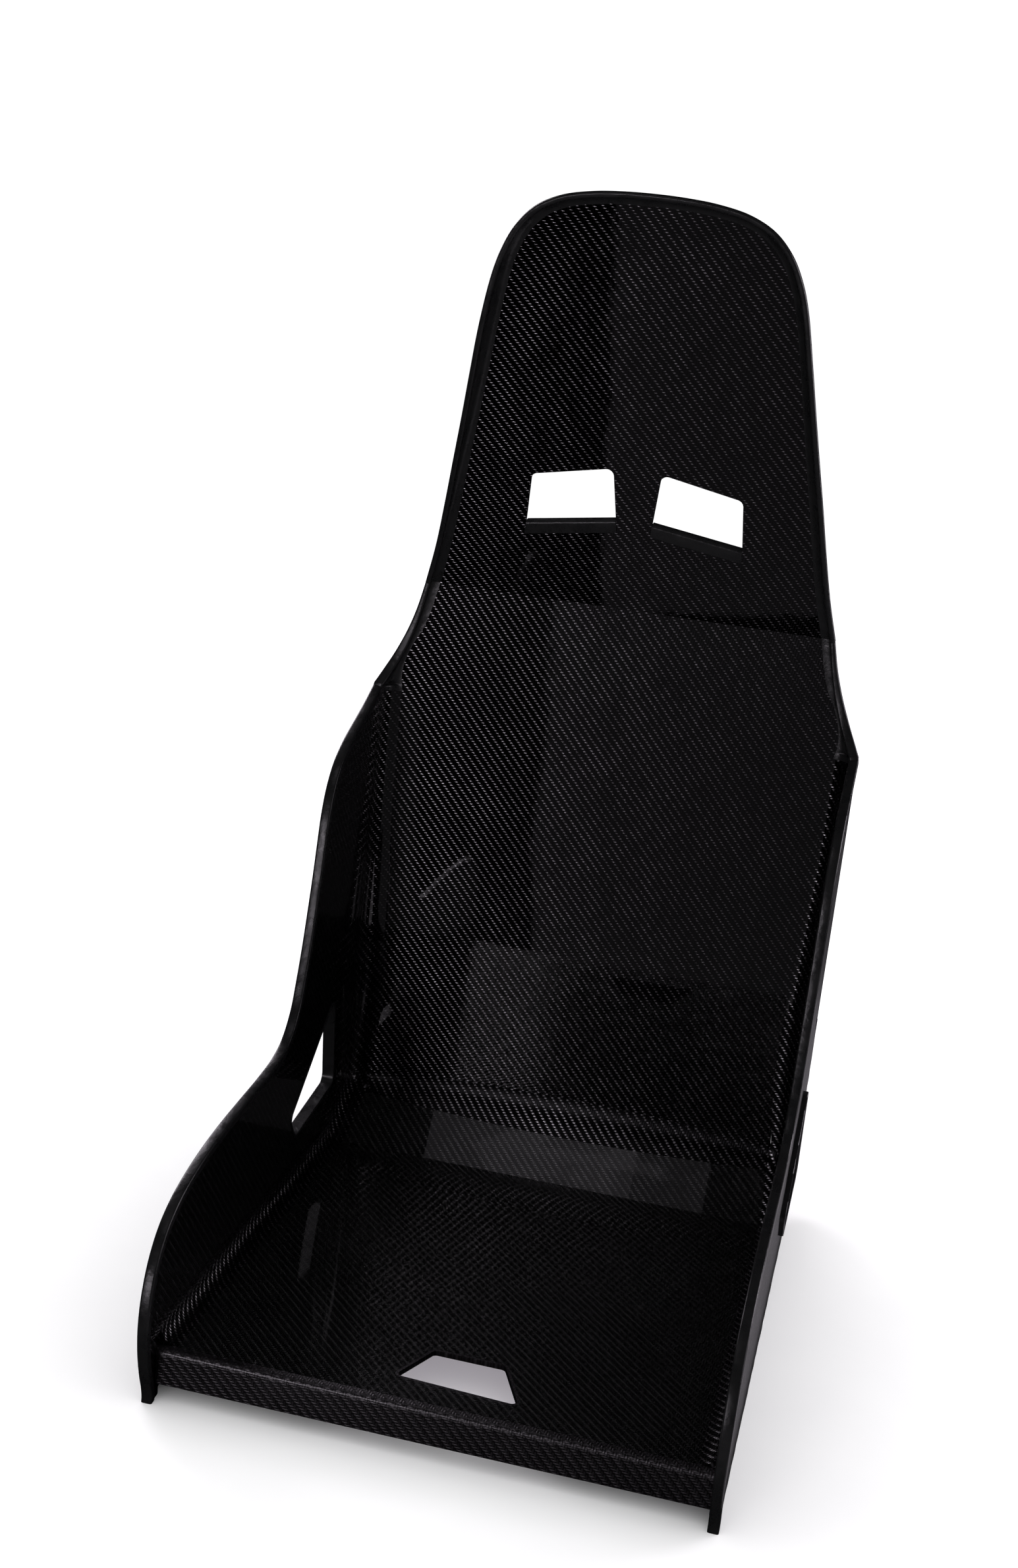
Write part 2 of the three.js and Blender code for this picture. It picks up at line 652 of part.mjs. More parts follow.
function lapHole() {
  return rounded(grown(LAP_SLOT, LAP_COLLAR + JOINT_GAP), LAP_CORNER + LAP_COLLAR);
}

function sidePlateOutline() {
  const path = wallRimPath();
  const rim = rimInset(path, WALL_BEAD[1] + RIM_CLEARANCE).slice(splitIndex(path));
  const foot = wallFoot();
  const corner = foot.findIndex((p) => p.y > SPLIT_HEIGHT - 1);
  const lower = foot.slice(0, corner + 1);
  lower.at(-1).y = SPLIT_HEIGHT - JOINT_GAP / 2;
  const legTop = new THREE.Vector2(FOOT_LEG_Y - JOINT_GAP, lower[0].y);
  const legBottom = new THREE.Vector2(FOOT_LEG_Y - JOINT_GAP, rim.at(-1).y);
  return [...lower.reverse().concat([legTop, legBottom]), ...rim.reverse()];
}

function sidePlate() {
  return prism(sidePlateOutline(), [lapHole()], placeWall, WALL_INNER_X, WALL_INNER_X + WALL_SKIN);
}

function wingOutline() {
  const path = wallRimPath();
  const split = splitIndex(path);
  const rim = rimInset(path, WALL_BEAD[1] + RIM_CLEARANCE).slice(0, split);
  const foot = wallFoot();
  const corner = foot.findIndex((p) => p.y > SPLIT_HEIGHT - 1);
  const rear = foot.slice(corner);
  rear[0].y = SPLIT_HEIGHT + JOINT_GAP / 2;
  const hip = rimInset(path, WALL_BEAD[1] + RIM_CLEARANCE)[split];
  const end = new THREE.Vector2(lerp(rim.at(-1).x, hip.x, 0.5), lerp(rim.at(-1).y, hip.y, 0.5));
  const clear = rim.slice(0, -1).filter((p) => p.y < rear.at(-1).y - 1 || p.x < rear.at(-1).x - 1);
  return [...rear, ...clear, end];
}

function wingPanel() {
  return prism(wingOutline(), [], placeWall, WALL_INNER_X, WALL_INNER_X + WALL_SKIN);
}

function wingOuterSkin() {
  return prism(wingOutline(), [], placeWall, WALL_INNER_X + WALL_SKIN + JOINT_GAP, WALL_OUTER_X);
}

function sideOuterSkin() {
  const path = wallRimPath();
  const rim = rimInset(path, WALL_BEAD[1] + RIM_CLEARANCE).slice(splitIndex(path));
  const corner = wallFoot().find((p) => p.y > SPLIT_HEIGHT - 1);
  const rear = [new THREE.Vector2(corner.x, SPLIT_HEIGHT - JOINT_GAP / 2)];
  for (const height of [SPLIT_HEIGHT - JOINT_GAP / 2, 120, 60]) {
    const point = back.place(0, backDistance(height), -FLOOR_TOTAL);
    rear.push(new THREE.Vector2(point.y, height));
  }
  const bottom = [...SIDE_REAR_BOTTOM].reverse().map((p) => new THREE.Vector2(...p));
  const outline = [...rear, ...bottom, ...rim.reverse()];
  const low = WALL_INNER_X + WALL_SKIN + JOINT_GAP;
  return prism(outline, [lapHole()], placeWall, low, WALL_OUTER_X);
}

function lapSlotLip() {
  const outside = rounded(grown(LAP_SLOT, LAP_COLLAR), LAP_CORNER + LAP_COLLAR);
  const inside = rounded(LAP_SLOT, LAP_CORNER);
  return prism(outside, [inside], placeWall, WALL_INNER_X - LAP_COLLAR_IN, WALL_OUTER_X + LAP_COLLAR_OUT);
}

// ---------------------------------------------------------------- rim beads

// rounded bead section: across from the outer face, down from the tip
function beadSection(width, height) {
  const round = BEAD_ROUND;
  const cut = round * BEAD_CUT;
  return [
    [0, -height], [0, -round], [cut, -cut], [round, 0],
    [width - round, 0], [width - cut, -cut], [width, -round], [width, -height],
  ];
}

// bead swept along stations { tip, inward, size }; along sets the direction where two beads meet
function bead(stations) {
  const rings = stations.map(({ tip, inward, size, along }, i) => {
    const before = stations[Math.max(0, i - 1)].tip;
    const after = stations[Math.min(stations.length - 1, i + 1)].tip;
    const tangent = along ?? after.clone().sub(before).normalize();
    const up = new THREE.Vector3().crossVectors(inward, tangent).normalize();
    const across = new THREE.Vector3().crossVectors(tangent, up).normalize();
    if (across.dot(inward) < 0) across.negate();
    return beadSection(...size).map(([a, b]) => {
      return tip.clone().addScaledVector(across, a).addScaledVector(up, b);
    });
  });
  return loft(rings, beadSection(...stations[0].size).map((p) => new THREE.Vector2(...p)));
}

function headRim() {
  const path = headRimPath();
  const normals = pathNormals(path);
  const stations = path.map((p, i) => {
    const s = Math.max(p.y, JOINT_GAP / 2);
    const tip = head.place(p.x, s, p.z);
    const inside = head.place(p.x - normals[i].x, s - normals[i].y, p.z);
    return { tip, inward: inside.sub(tip).normalize(), size: HEAD_BEAD };
  });
  return bead(stations.reverse());
}

// direction of the rim where the wing bead meets the side bead
function meetingDirection(path) {
  const split = splitIndex(path);
  const step = path[split].clone().sub(path[split - 1]).normalize();
  return new THREE.Vector3(0, step.x, step.y);
}

function wingRim() {
  const stations = [];
  const inward = new THREE.Vector3(-1, 0, 0);
  const beadRows = shoulderRows().filter(([height]) => height > SHOULDER_RIM.at(-1)[0] + 2);
  for (const [height, half, rise] of beadRows) {
    stations.push({ tip: placeShoulder(height, half, rise), inward, size: beadSize(shoulderBlend(height)) });
  }
  const path = wallRimPath();
  const tipX = WALL_OUTER_X + BEAD_PROUD;
  for (const p of path.slice(0, splitIndex(path))) {
    stations.push({ tip: new THREE.Vector3(tipX, p.x, p.y), inward, size: WALL_BEAD });
  }
  stations.at(-1).along = meetingDirection(path);
  return bead(stations);
}

function sideRim() {
  const path = wallRimPath();
  const inward = new THREE.Vector3(-1, 0, 0);
  const split = splitIndex(path);
  const [a, b] = [path[split - 1], path[split]];
  const gapShare = JOINT_GAP / a.distanceTo(b);
  const start = a.clone().lerp(b, gapShare);
  const points = [start, ...path.slice(split)];
  const tipX = WALL_OUTER_X + BEAD_PROUD;
  const stations = points.map((p) => ({ tip: new THREE.Vector3(tipX, p.x, p.y), inward, size: WALL_BEAD }));
  stations[0].along = meetingDirection(path);
  return bead(stations);
}

// ---------------------------------------------------------------- front

// axis of the rounded fold between apron and pan, tangent to both
function foldAxis() {
  const along = (FOLD_RADIUS * (1 - Math.sin(panAngle))) / Math.cos(panAngle);
  return pan.place(0, along, -FOLD_RADIUS);
}

function frontApron() {
  const top = foldAxis().z - JOINT_GAP;
  const [front, rear] = [PAN_FRONT[0], PAN_FRONT[0] + APRON_THICKNESS];
  const [left, right] = [-APRON_HALF, APRON_HALF];
  const outline = [[left, APRON_BOTTOM_Z], [right, APRON_BOTTOM_Z], [right, top], [left, top]];
  const place = (x, z, y) => new THREE.Vector3(x, y, z);
  return prism(outline.map((p) => new THREE.Vector2(...p)), [], place, front, rear);
}

function apronFold() {
  const innerRadius = FOLD_RADIUS - APRON_THICKNESS;
  const axis = foldAxis();
  const centre = [axis.y, axis.z];
  const outer = [];
  const inner = [];
  for (let k = 0; k <= FOLD_STEPS; k += 1) {
    const angle = Math.PI - (k / FOLD_STEPS) * (Math.PI / 2 - panAngle);
    const [c, s] = [Math.cos(angle), Math.sin(angle)];
    outer.push([centre[0] + FOLD_RADIUS * c, centre[1] + FOLD_RADIUS * s]);
    inner.push([centre[0] + innerRadius * c, centre[1] + innerRadius * s]);
  }
  const shelfTop = pan.place(0, FOLD_SHELF, 0);
  const shelfLow = pan.place(0, FOLD_SHELF, -APRON_THICKNESS);
  const section = [...outer, [shelfTop.y, shelfTop.z], [shelfLow.y, shelfLow.z], ...inner.reverse()];
  const rings = [-APRON_HALF, APRON_HALF].map((x) => section.map(([y, z]) => new THREE.Vector3(x, y, z)));
  return loft(rings, section.map((p) => new THREE.Vector2(...p)));
}

// ---------------------------------------------------------------- assembly

const singles = {
  base_pan: [basePan, 'gloss_twill'],
  base_outer_skin: [baseOuterSkin, 'raw_skin'],
  crotch_slot_edge: [crotchSlotEdge, 'satin_twill'],
  front_apron: [frontApron, 'satin_twill'],
  apron_fold: [apronFold, 'satin_twill'],
  rear_ramp: [rearRamp, 'gloss_twill'],
  ramp_band: [rampBand, 'fillet_twill'],
  lower_back_panel: [lowerBackPanel, 'gloss_twill'],
  lower_back_outer_skin: [lowerBackOuterSkin, 'raw_skin'],
  head_panel: [headPanel, 'gloss_twill'],
  head_outer_skin: [headOuterSkin, 'raw_skin'],
  head_flange: [headFlange, 'smooth_edge'],
  head_rim: [headRim, 'smooth_edge'],
};

const pairs = {
  side_plate: [sidePlate, 'gloss_twill'],
  side_outer_skin: [sideOuterSkin, 'raw_skin'],
  wing_panel: [wingPanel, 'gloss_twill'],
  wing_outer_skin: [wingOuterSkin, 'raw_skin'],
  base_fillet: [baseFillet, 'fillet_twill'],
  corner_fillet: [cornerFillet, 'fillet_twill'],
  back_fillet: [backFilletStrip, 'gloss_twill'],
  shoulder_fillet: [shoulderFillet, 'smooth_edge'],
  wing_rim: [wingRim, 'smooth_edge'],
  side_rim: [sideRim, 'smooth_edge'],
  shoulder_slot_lip: [shoulderSlotLip, 'smooth_edge'],
  lap_slot_lip: [lapSlotLip, 'smooth_edge'],
};

function mesh(name, geometry, slot) {
  const material = new THREE.MeshStandardMaterial({
    name: slot, color: COLOURS[slot], roughness: GLOSSY.includes(slot) ? 0.15 : 0.5, flatShading: true,
  });
  const part = new THREE.Mesh(geometry, material);
  part.name = name;
  return part;
}

function assemble() {
  const group = new THREE.Group();
  group.name = 'racing_seat';
  for (const [name, [make, slot]] of Object.entries(singles)) group.add(mesh(name, make(), slot));
  for (const [name, [make, slot]] of Object.entries(pairs)) {
    const right = make();
    group.add(mesh(`${name}_right`, right, slot));
    group.add(mesh(`${name}_left`, mirrored(right), slot));
  }
  const box = new THREE.Box3().setFromObject(group);
  const middle = (box.min.y + box.max.y) / 2;
  for (const part of group.children) part.geometry.translate(0, -middle, -box.min.z);
  return group;
}

export default assemble();
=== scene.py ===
# Visual model of a moulded carbon-fibre bucket racing seat, in metres, standing on a pale floor.
import math

import bmesh
import bpy
import numpy as np
from mathutils import Matrix, Vector
from mathutils.geometry import delaunay_2d_cdt

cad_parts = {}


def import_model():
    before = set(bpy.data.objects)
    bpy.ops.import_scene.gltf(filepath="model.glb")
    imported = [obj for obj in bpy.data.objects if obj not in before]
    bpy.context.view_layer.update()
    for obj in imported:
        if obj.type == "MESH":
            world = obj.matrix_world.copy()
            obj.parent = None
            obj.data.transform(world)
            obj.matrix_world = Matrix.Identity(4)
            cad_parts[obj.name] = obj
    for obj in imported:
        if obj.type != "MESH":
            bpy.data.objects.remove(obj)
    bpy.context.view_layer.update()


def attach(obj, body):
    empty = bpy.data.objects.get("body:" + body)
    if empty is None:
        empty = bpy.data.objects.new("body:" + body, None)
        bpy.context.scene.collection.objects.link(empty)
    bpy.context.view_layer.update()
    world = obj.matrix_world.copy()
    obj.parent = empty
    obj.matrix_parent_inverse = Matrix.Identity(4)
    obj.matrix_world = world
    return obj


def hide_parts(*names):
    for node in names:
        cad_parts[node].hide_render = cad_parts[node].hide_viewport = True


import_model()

BODY = "root"
MM = 0.001

# ---- bucket profile, seen from the side (Y, Z of the inner surface), in mm ----
PAN_FRONT = (-23.0, 43.0)
PAN_REAR = (385.0, 8.5)
BACK_FOOT = (447.0, 40.3)
BACK_KINK = (469.9, 511.4)
HEAD_TOP = (379.2, 857.3)
DEPTH_MIDDLE = 215.3

# ---- laminate ----
FLOOR_INNER = 1.8
FLOOR_TOTAL = 3.5
WALL_INNER_X = 203.5
WALL_SKIN = 3.0
WALL_OUTER_X = 209.8
SKIN_GAP = 0.1

# ---- fillets ----
PAN_FILLET = 13.5
CREASE_FILLET = 14.0
FOOT_FILLET = 18.0
BACK_FILLET = ((57, 18), (120, 24), (193, 22.5), (318, 15.5), (390, 14.5), (419, 14.5))
FILLET_STEPS = 14
BAND_TANGENT_MIDDLE = 20.5
BAND_TANGENT_EDGE = 11.6
BAND_STEPS = 16
BAND_COLUMNS = 70
BAND_FOOT_ROWS = 7
RAMP_BLEND = 1 / 3

# ---- front apron ----
APRON_HALF = 203.2
APRON_BOTTOM_Z = 14.0
APRON_THICKNESS = 3.0
FOLD_RADIUS = 4.0
FOLD_SHELF = 8.0

# ---- belt slots ----
CROTCH_SLOT = ((-35, 36.5), (57.5, 31), (36.5, 81.5), (-17, 81.5))
CROTCH_EDGE = 2.2
CROTCH_CORNER = 4.0
CROTCH_EDGE_PROUD = 0.3
SHOULDER_SLOT = ((15.3, 82), (91.3, 70), (88.2, 113), (20, 127))
SHOULDER_CORNER = 6.0
SHOULDER_FOOT_CORNER = 1.0
SHOULDER_LIP_HEIGHT = 12.0
SHOULDER_LIP_BACK = 9.0
SHOULDER_LIP_FRONT = 1.2
SHOULDER_LIP_ROUND = 3.4
SHOULDER_LIP_MARGIN = 0.05
LAP_SLOT = ((268, 84), (284, 61), (388, 64), (374, 151))
LAP_CORNER = 7.0
LAP_COLLAR = 2.6
LAP_COLLAR_OUT = 4.0
LAP_COLLAR_IN = 0.6

# ---- outlines ----
WALL_RIM = (
    (446, 419), (420, 409), (392, 400), (365, 391), (341, 378), (325, 360), (316, 340), (310.5, 317),
    (304.5, 290), (297, 262), (288.5, 233), (279, 207), (268, 183), (250, 166), (228, 159), (195, 157.3),
    (150, 158), (110, 158.3), (70, 156.5), (36, 152), (9, 145), (-12, 134), (-28, 117), (-38, 96),
    (-42.5, 74), (-41.5, 50), (-36, 27), (-31, 13), (-29, 5), (-29, 0),
)
SHOULDER_RIM = (
    (511.4, 176.5, 6), (487, 182, 6), (467, 188.5, 6.5), (447, 197, 9), (434, 203.5, 12.5),
    (425, 208, 16.5), (419, 210.8, 20.8),
)
SHOULDER_END = ((415.5, 210.8, 30), (411, 210.8, 41))
HEAD_RIM = (
    (176.5, 0, 6), (167.8, 37, 6.5), (160.2, 78, 8.5), (153.4, 118, 10.5), (146.2, 159, 13.5),
    (139.3, 200, 17), (132.4, 241, 19), (124.5, 281, 16), (118, 302, 14), (108, 322, 12.5),
    (93, 338.5, 11.5), (73, 349, 11), (48, 354.5, 10.5), (24, 356.7, 10.5), (0, 357.3, 10.5),
)
FLANGE_WIDTH = 12.0
HEAD_BEAD = (4.6, 4.0)
WALL_BEAD = (WALL_OUTER_X - WALL_INNER_X + 1.9, 6.0)
BEAD_ROUND = 1.5
BEAD_ROUND_STEPS = 4
SPLIT_HEIGHT = 178.0
HIP_SPLIT = 12.0
FOOT_LEG_Y = -15.0
SIDE_REAR_BOTTOM = ((405, 0), (432, 8), (446, 24))
BACK_LEVELS = (80, 100, 120, 150, 178, 193, 225, 260, 318, 355, 390)
SHOULDER_TOP_MITRE = 24.0
BEAD_PROUD = 1.0
RIM_OVERLAP = 0.5
OUTER_INSET = 0.4
RIM_X = WALL_OUTER_X + BEAD_PROUD
HEAD_SAMPLES = 224
WALL_SAMPLES = 288
SHOULDER_SAMPLES = 48
PAN_FILLET_ROWS = 40
RAMP_FILLET_STOPS = (0.12, 0.24, 0.36, 0.5)
CORNER_FILLET_ROWS = 16
BACK_FILLET_ROWS = 30
LIP_COLUMNS = 24
APRON_COLUMNS = 90
APRON_ROWS = 7
FOLD_ROWS = 11
PANEL_SPACING = 7.0
SKIN_SPACING = 5.0


# ---- plane geometry


def direction(a, b):
    return math.atan2(b[1] - a[1], b[0] - a[0])


def distance(a, b):
    return math.hypot(b[0] - a[0], b[1] - a[1])


def unit(vector):
    return vector / np.linalg.norm(vector)


def lerp(a, b, t):
    return a + (b - a) * t


def table(rows, key, column=1):
    ordered = sorted(rows, key=lambda row: row[0])
    return float(np.interp(key, [r[0] for r in ordered], [r[column] for r in ordered]))


def point_on(start, angle, s):
    return start[0] + s * math.cos(angle), start[1] + s * math.sin(angle)


def catmull_rom(points, samples):
    """Centripetal Catmull-Rom curve through the points, evenly spaced in its parameter."""
    pts = np.array(points, float)
    last = len(pts) - 1
    ends = np.vstack([2 * pts[0] - pts[1], pts, 2 * pts[-1] - pts[-2]])
    result = []
    for k in range(samples + 1):
        position = last * k / samples
        i = min(int(position), last - 1)
        w = position - i
        p0, p1, p2, p3 = ends[i : i + 4]
        d0, d1, d2 = [max(np.linalg.norm(b - a), 1e-4) ** 0.5 for a, b in ((p0, p1), (p1, p2), (p2, p3))]
        t1 = ((p1 - p0) / d0 - (p2 - p0) / (d0 + d1) + (p2 - p1) / d1) * d1
        t2 = ((p2 - p1) / d1 - (p3 - p1) / (d1 + d2) + (p3 - p2) / d2) * d1
        c2 = -3 * p1 + 3 * p2 - 2 * t1 - t2
        c3 = 2 * p1 - 2 * p2 + t1 + t2
        result.append(p1 + t1 * w + c2 * w**2 + c3 * w**3)
    return np.array(result)


def area(loop):
    x, y = loop[:, 0], loop[:, 1]
    return 0.5 * float(np.sum(x * np.roll(y, -1) - y * np.roll(x, -1)))


def anticlockwise(loop):
    loop = np.array(loop, float)
    return loop if area(loop) > 0 else loop[::-1]


def rounded(corners, radii, steps=7):
    """Polygon with its corners rounded, by one radius or by one for each corner."""
    pts = np.array(corners, float)
    loop = []
    for i, (here, radius) in enumerate(zip(pts, np.broadcast_to(radii, len(pts)))):
        before = pts[i - 1] - here
        after = pts[(i + 1) % len(pts)] - here
        before, after = unit(before), unit(after)
        half = math.acos(float(np.clip(before @ after, -1, 1))) / 2
        reach = radius / math.tan(half)
        centre = here + unit(before + after) * radius / math.sin(half)
        start, end = here + before * reach - centre, here + after * reach - centre
        turn = math.atan2(start[0] * end[1] - start[1] * end[0], float(start @ end))
        for k in range(steps + 1):
            c, s = math.cos(turn * k / steps), math.sin(turn * k / steps)
            loop.append((centre[0] + c * start[0] - s * start[1], centre[1] + s * start[0] + c * start[1]))
    return np.array(loop)


def grown(corners, amount):
    """Polygon moved outwards by a distance, straight corners."""
    loop = anticlockwise(corners)
    result = []
    for i, here in enumerate(loop):
        a, b = here - loop[i - 1], loop[(i + 1) % len(loop)] - here
        n1, n2 = unit(np.array([a[1], -a[0]])), unit(np.array([b[1], -b[0]]))
        bisector = unit(n1 + n2)
        result.append(here + bisector * amount / (bisector @ n1))
    return np.array(result)


def round_turns(count):
    """Points (cos, sin) of a quarter turn."""
    return [(math.cos(a), math.sin(a)) for a in np.linspace(0, math.pi / 2, count)]


def path_normals(path):
    ahead = np.vstack([path[1:], path[-1:]])
    behind = np.vstack([path[:1], path[:-1]])
    run = (ahead - behind)[:, :2]
    normals = np.stack([run[:, 1], -run[:, 0]], axis=1)
    return normals / np.linalg.norm(normals, axis=1, keepdims=True)


# ---- bucket profile

PAN_ANGLE = direction(PAN_FRONT, PAN_REAR)
RAMP_ANGLE = direction(PAN_REAR, BACK_FOOT)
BACK_ANGLE = direction(BACK_FOOT, BACK_KINK)
HEAD_ANGLE = direction(BACK_KINK, HEAD_TOP)
CREASE_HALF = (RAMP_ANGLE - PAN_ANGLE) / 2
FOOT_HALF = (BACK_ANGLE - RAMP_ANGLE) / 2
KINK_HALF = (HEAD_ANGLE - BACK_ANGLE) / 2


def joined(*values):
    """Arrays of one number per point, made into an array of points."""
    return np.stack(np.broadcast_arrays(*values), axis=-1)


class Facet:
    """Flat part of the bucket: x across, s along, n towards the sitter; ends are mitred."""

    def __init__(self, start, end, mitre_start, mitre_end, travelled):
        self.start, self.angle, self.length = start, direction(start, end), distance(start, end)
        self.mitres = math.tan(mitre_start), math.tan(mitre_end)
        self.travelled = travelled

    def place(self, x, s, n):
        t = s / self.length
        shifted = s + n * (self.mitres[0] * (1 - t) - self.mitres[1] * t)
        c, k = math.cos(self.angle), math.sin(self.angle)
        y = self.start[0] + shifted * c - n * k
        z = self.start[1] + shifted * k + n * c
        return joined(x, y, z)

    def cloth(self, u, v):
        return u, self.travelled + v


PAN = Facet(PAN_FRONT, PAN_REAR, 0, CREASE_HALF, 0.0)
RAMP = Facet(PAN_REAR, BACK_FOOT, CREASE_HALF, 0, PAN.length)
BACK = Facet(BACK_FOOT, BACK_KINK, 0, KINK_HALF, PAN.length + RAMP.length)
HEAD = Facet(BACK_KINK, HEAD_TOP, KINK_HALF, 0, PAN.length + RAMP.length + BACK.length)
BAND_HALF = WALL_INNER_X - FOOT_FILLET


def back_distance(height):
    return (height - BACK_FOOT[1]) / math.sin(BACK_ANGLE)


def back_fillet(height):
    return table(BACK_FILLET, height)


def band_tangent(x):
    return lerp(BAND_TANGENT_MIDDLE, BAND_TANGENT_EDGE, (x / BAND_HALF) ** 2)


def arc_centre(tangent, radius):
    a = point_on(PAN_REAR, RAMP_ANGLE, RAMP.length - tangent)
    return a[0] - radius * math.sin(RAMP_ANGLE), a[1] + radius * math.cos(RAMP_ANGLE)


# ---- surface texture of the laminate

WAVES = np.random.default_rng(11)
SOFT_WAVES = [(WAVES.normal(size=3), WAVES.uniform(0, math.tau)) for _ in range(9)]
SOFT_WAVE_LENGTH = 34.0
SOFT_WAVE_HEIGHT = 0.022
ROUGH_WAVES = [(WAVES.normal(size=3), WAVES.uniform(0, math.tau)) for _ in range(14)]
ROUGH_WAVE_LENGTH = 9.5
ROUGH_WAVE_HEIGHT = 0.07
ROUGH_WAVE_MIDDLE = 0.6


def soft_waves(points):
    """Slow unevenness of a moulded, clear-coated laminate, in mm."""
    total = np.zeros(points.shape[:-1])
    for vector, phase in SOFT_WAVES:
        total += np.sin(points @ vector / SOFT_WAVE_LENGTH + phase)
    return SOFT_WAVE_HEIGHT * total


def rough_waves(points):
    """Wrinkles that the vacuum bag leaves on the outer face, in mm."""
    total = np.zeros(points.shape[:-1])
    for vector, phase in ROUGH_WAVES:
        total += np.abs(np.sin(points @ vector / ROUGH_WAVE_LENGTH + phase)) - ROUGH_WAVE_MIDDLE
    return ROUGH_WAVE_HEIGHT * total


def still(points):
    return np.zeros(points.shape[:-1])


# ---- mesh making

COLLECTION = bpy.context.scene.collection


def to_frame(points):
    moved = np.array(points, float)
    moved[..., 1] -= DEPTH_MIDDLE
    return moved * MM


# pieces that differ from the rest of their slot: on the pan and ramp a copy of the gloss cloth with painted
# shade (its fibre glints painted dim) and its resin ground painted a little lighter; on the band and some
# fillets a duller coat
FINISHES = {
    "pan_cloth": "_deep",
    "ramp_cloth": "_deep",
    "ramp_to_back_band": "_dull",
    "pan_fillet_right": "_dull",
    "pan_fillet_left": "_dull",
    "corner_fillet_right_cloth": "_dull",
}
SHARP_ANGLE = math.radians(35.0)
BEVEL_ANGLE = math.radians(50.0)


def make_object(name, points, faces, cloth, node, slot, bevel=0.0):
    """A closed mesh piece that rides on the shell and stands for one CAD node; cloth is its UV in mm."""
    mesh = bpy.data.meshes.new(name)
    mesh.from_pydata([tuple(p) for p in to_frame(points)], [], faces)
    layer = mesh.uv_layers.new(name="cloth")
    index = np.zeros(len(mesh.loops), dtype=np.int32)
    mesh.loops.foreach_get("vertex_index", index)
    layer.data.foreach_set("uv", (np.array(cloth, float) * MM)[index].astype(np.float32).ravel())
    builder = bmesh.new()
    builder.from_mesh(mesh)
    bmesh.ops.recalc_face_normals(builder, faces=builder.faces)
    builder.to_mesh(mesh)
    builder.free()
    mesh.polygons.foreach_set("use_smooth", [True] * len(mesh.polygons))
    mesh.set_sharp_from_angle(angle=SHARP_ANGLE)
    piece = bpy.data.objects.new(name, mesh)
    COLLECTION.objects.link(piece)
    if bevel:
        modifier = piece.modifiers.new("edges", "BEVEL")
        modifier.width = bevel * MM
        modifier.segments = 3
        modifier.limit_method = "ANGLE"
        modifier.angle_limit = BEVEL_ANGLE
        modifier.harden_normals = True
    piece.data.materials.append(MATERIALS[slot + FINISHES.get(name, "")])
    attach(piece, BODY)
    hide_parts(node)
    return piece


def resampled(loop, spacing):
    points = []
    for i, here in enumerate(loop):
        after = loop[(i + 1) % len(loop)]
        parts = max(1, math.ceil(np.linalg.norm(after - here) / spacing))
        points += [lerp(here, after, k / parts) for k in range(parts)]
    return np.array(points)


def inside(points, loop):
    x, y = points[:, 0], points[:, 1]
    result = np.zeros(len(points), bool)
    for (ax, ay), (bx, by) in zip(loop, np.roll(loop, -1, axis=0)):
        crosses = (ay > y) != (by > y)
        if ay != by:
            result ^= crosses & (x < (bx - ax) * (y - ay) / (by - ay) + ax)
    return result


def edge_distance(points, loop):
    nearest = np.full(len(points), 1e9)
    for a, b in zip(loop, np.roll(loop, -1, axis=0)):
        ab = b - a
        t = np.clip(((points - a) @ ab) / max(ab @ ab, 1e-9), 0, 1)
        nearest = np.minimum(nearest, np.linalg.norm(points - a - t[:, None] * ab, axis=1))
    return nearest


def on_skin(points, loops):
    """Which points lie inside the first loop and outside its holes."""
    keep = inside(points, loops[0])
    for loop in loops[1:]:
        keep &= ~inside(points, loop)
    return keep


def staggered_grid(low, high, spacing):
    grid = []
    for r, y in enumerate(np.arange(low[1], high[1], spacing * math.sqrt(0.75))):
        grid += [(x + (r % 2) * spacing / 2, y) for x in np.arange(low[0], high[0], spacing)]
    return np.array(grid)


def fill(loops, spacing):
    """Even triangles over an outline with holes, and the numbers of the points on each loop."""
    loops = [resampled(loop, spacing) for loop in loops]
    grid = staggered_grid(loops[0].min(axis=0), loops[0].max(axis=0), spacing)
    keep = on_skin(grid, loops)
    for loop in loops:
        keep &= edge_distance(grid, loop) > spacing / 2
    points = np.vstack([*loops, grid[keep]])
    edges, numbers, start = [], [], 0
    for loop in loops:
        ring = list(range(start, start + len(loop)))
        edges += [(a, b) for a, b in zip(ring, ring[1:] + ring[:1])]
        numbers.append(ring)
        start += len(loop)
    out, _, triangles, origin, _, _ = delaunay_2d_cdt([Vector(p) for p in points], edges, [], 0, 1e-6)
    out = np.array([tuple(p) for p in out])
    renamed = {old: new for new, olds in enumerate(origin) for old in olds}
    triangles = np.array([tuple(t) for t in triangles])
    keep = on_skin(out[triangles].mean(axis=1), loops)
    return out, triangles[keep], [[renamed[i] for i in ring] for ring in numbers]


def plate(
    name, outline, holes, place, low, high, cloth, node, slot,
    texture=(still, still), spacing=PANEL_SPACING, bevel=0.0,
):
    """Flat skin with holes; place(u, v, w) gives its points, texture the unevenness of its two faces."""
    loops = [anticlockwise(outline), *[anticlockwise(h) for h in holes]]
    flat, triangles, rings = fill(loops, spacing)
    u, v = flat[:, 0], flat[:, 1]
    count = len(flat)
    bottom = place(u, v, low + texture[0](place(u, v, np.full(count, low))))
    top = place(u, v, high + texture[1](place(u, v, np.full(count, high))))
    faces = [tuple(t + count) for t in triangles] + [tuple(t[::-1]) for t in triangles]
    for ring in rings:
        faces += [(a, b, b + count, a + count) for a, b in zip(ring, ring[1:] + ring[:1])]
    cu, cv = cloth(u, v)
    uv = joined(cu, cv)
    faces = [tuple(int(i) for i in f) for f in faces]
    return make_object(name, np.vstack([bottom, top]), faces, np.vstack([uv, uv]), node, slot, bevel=bevel)


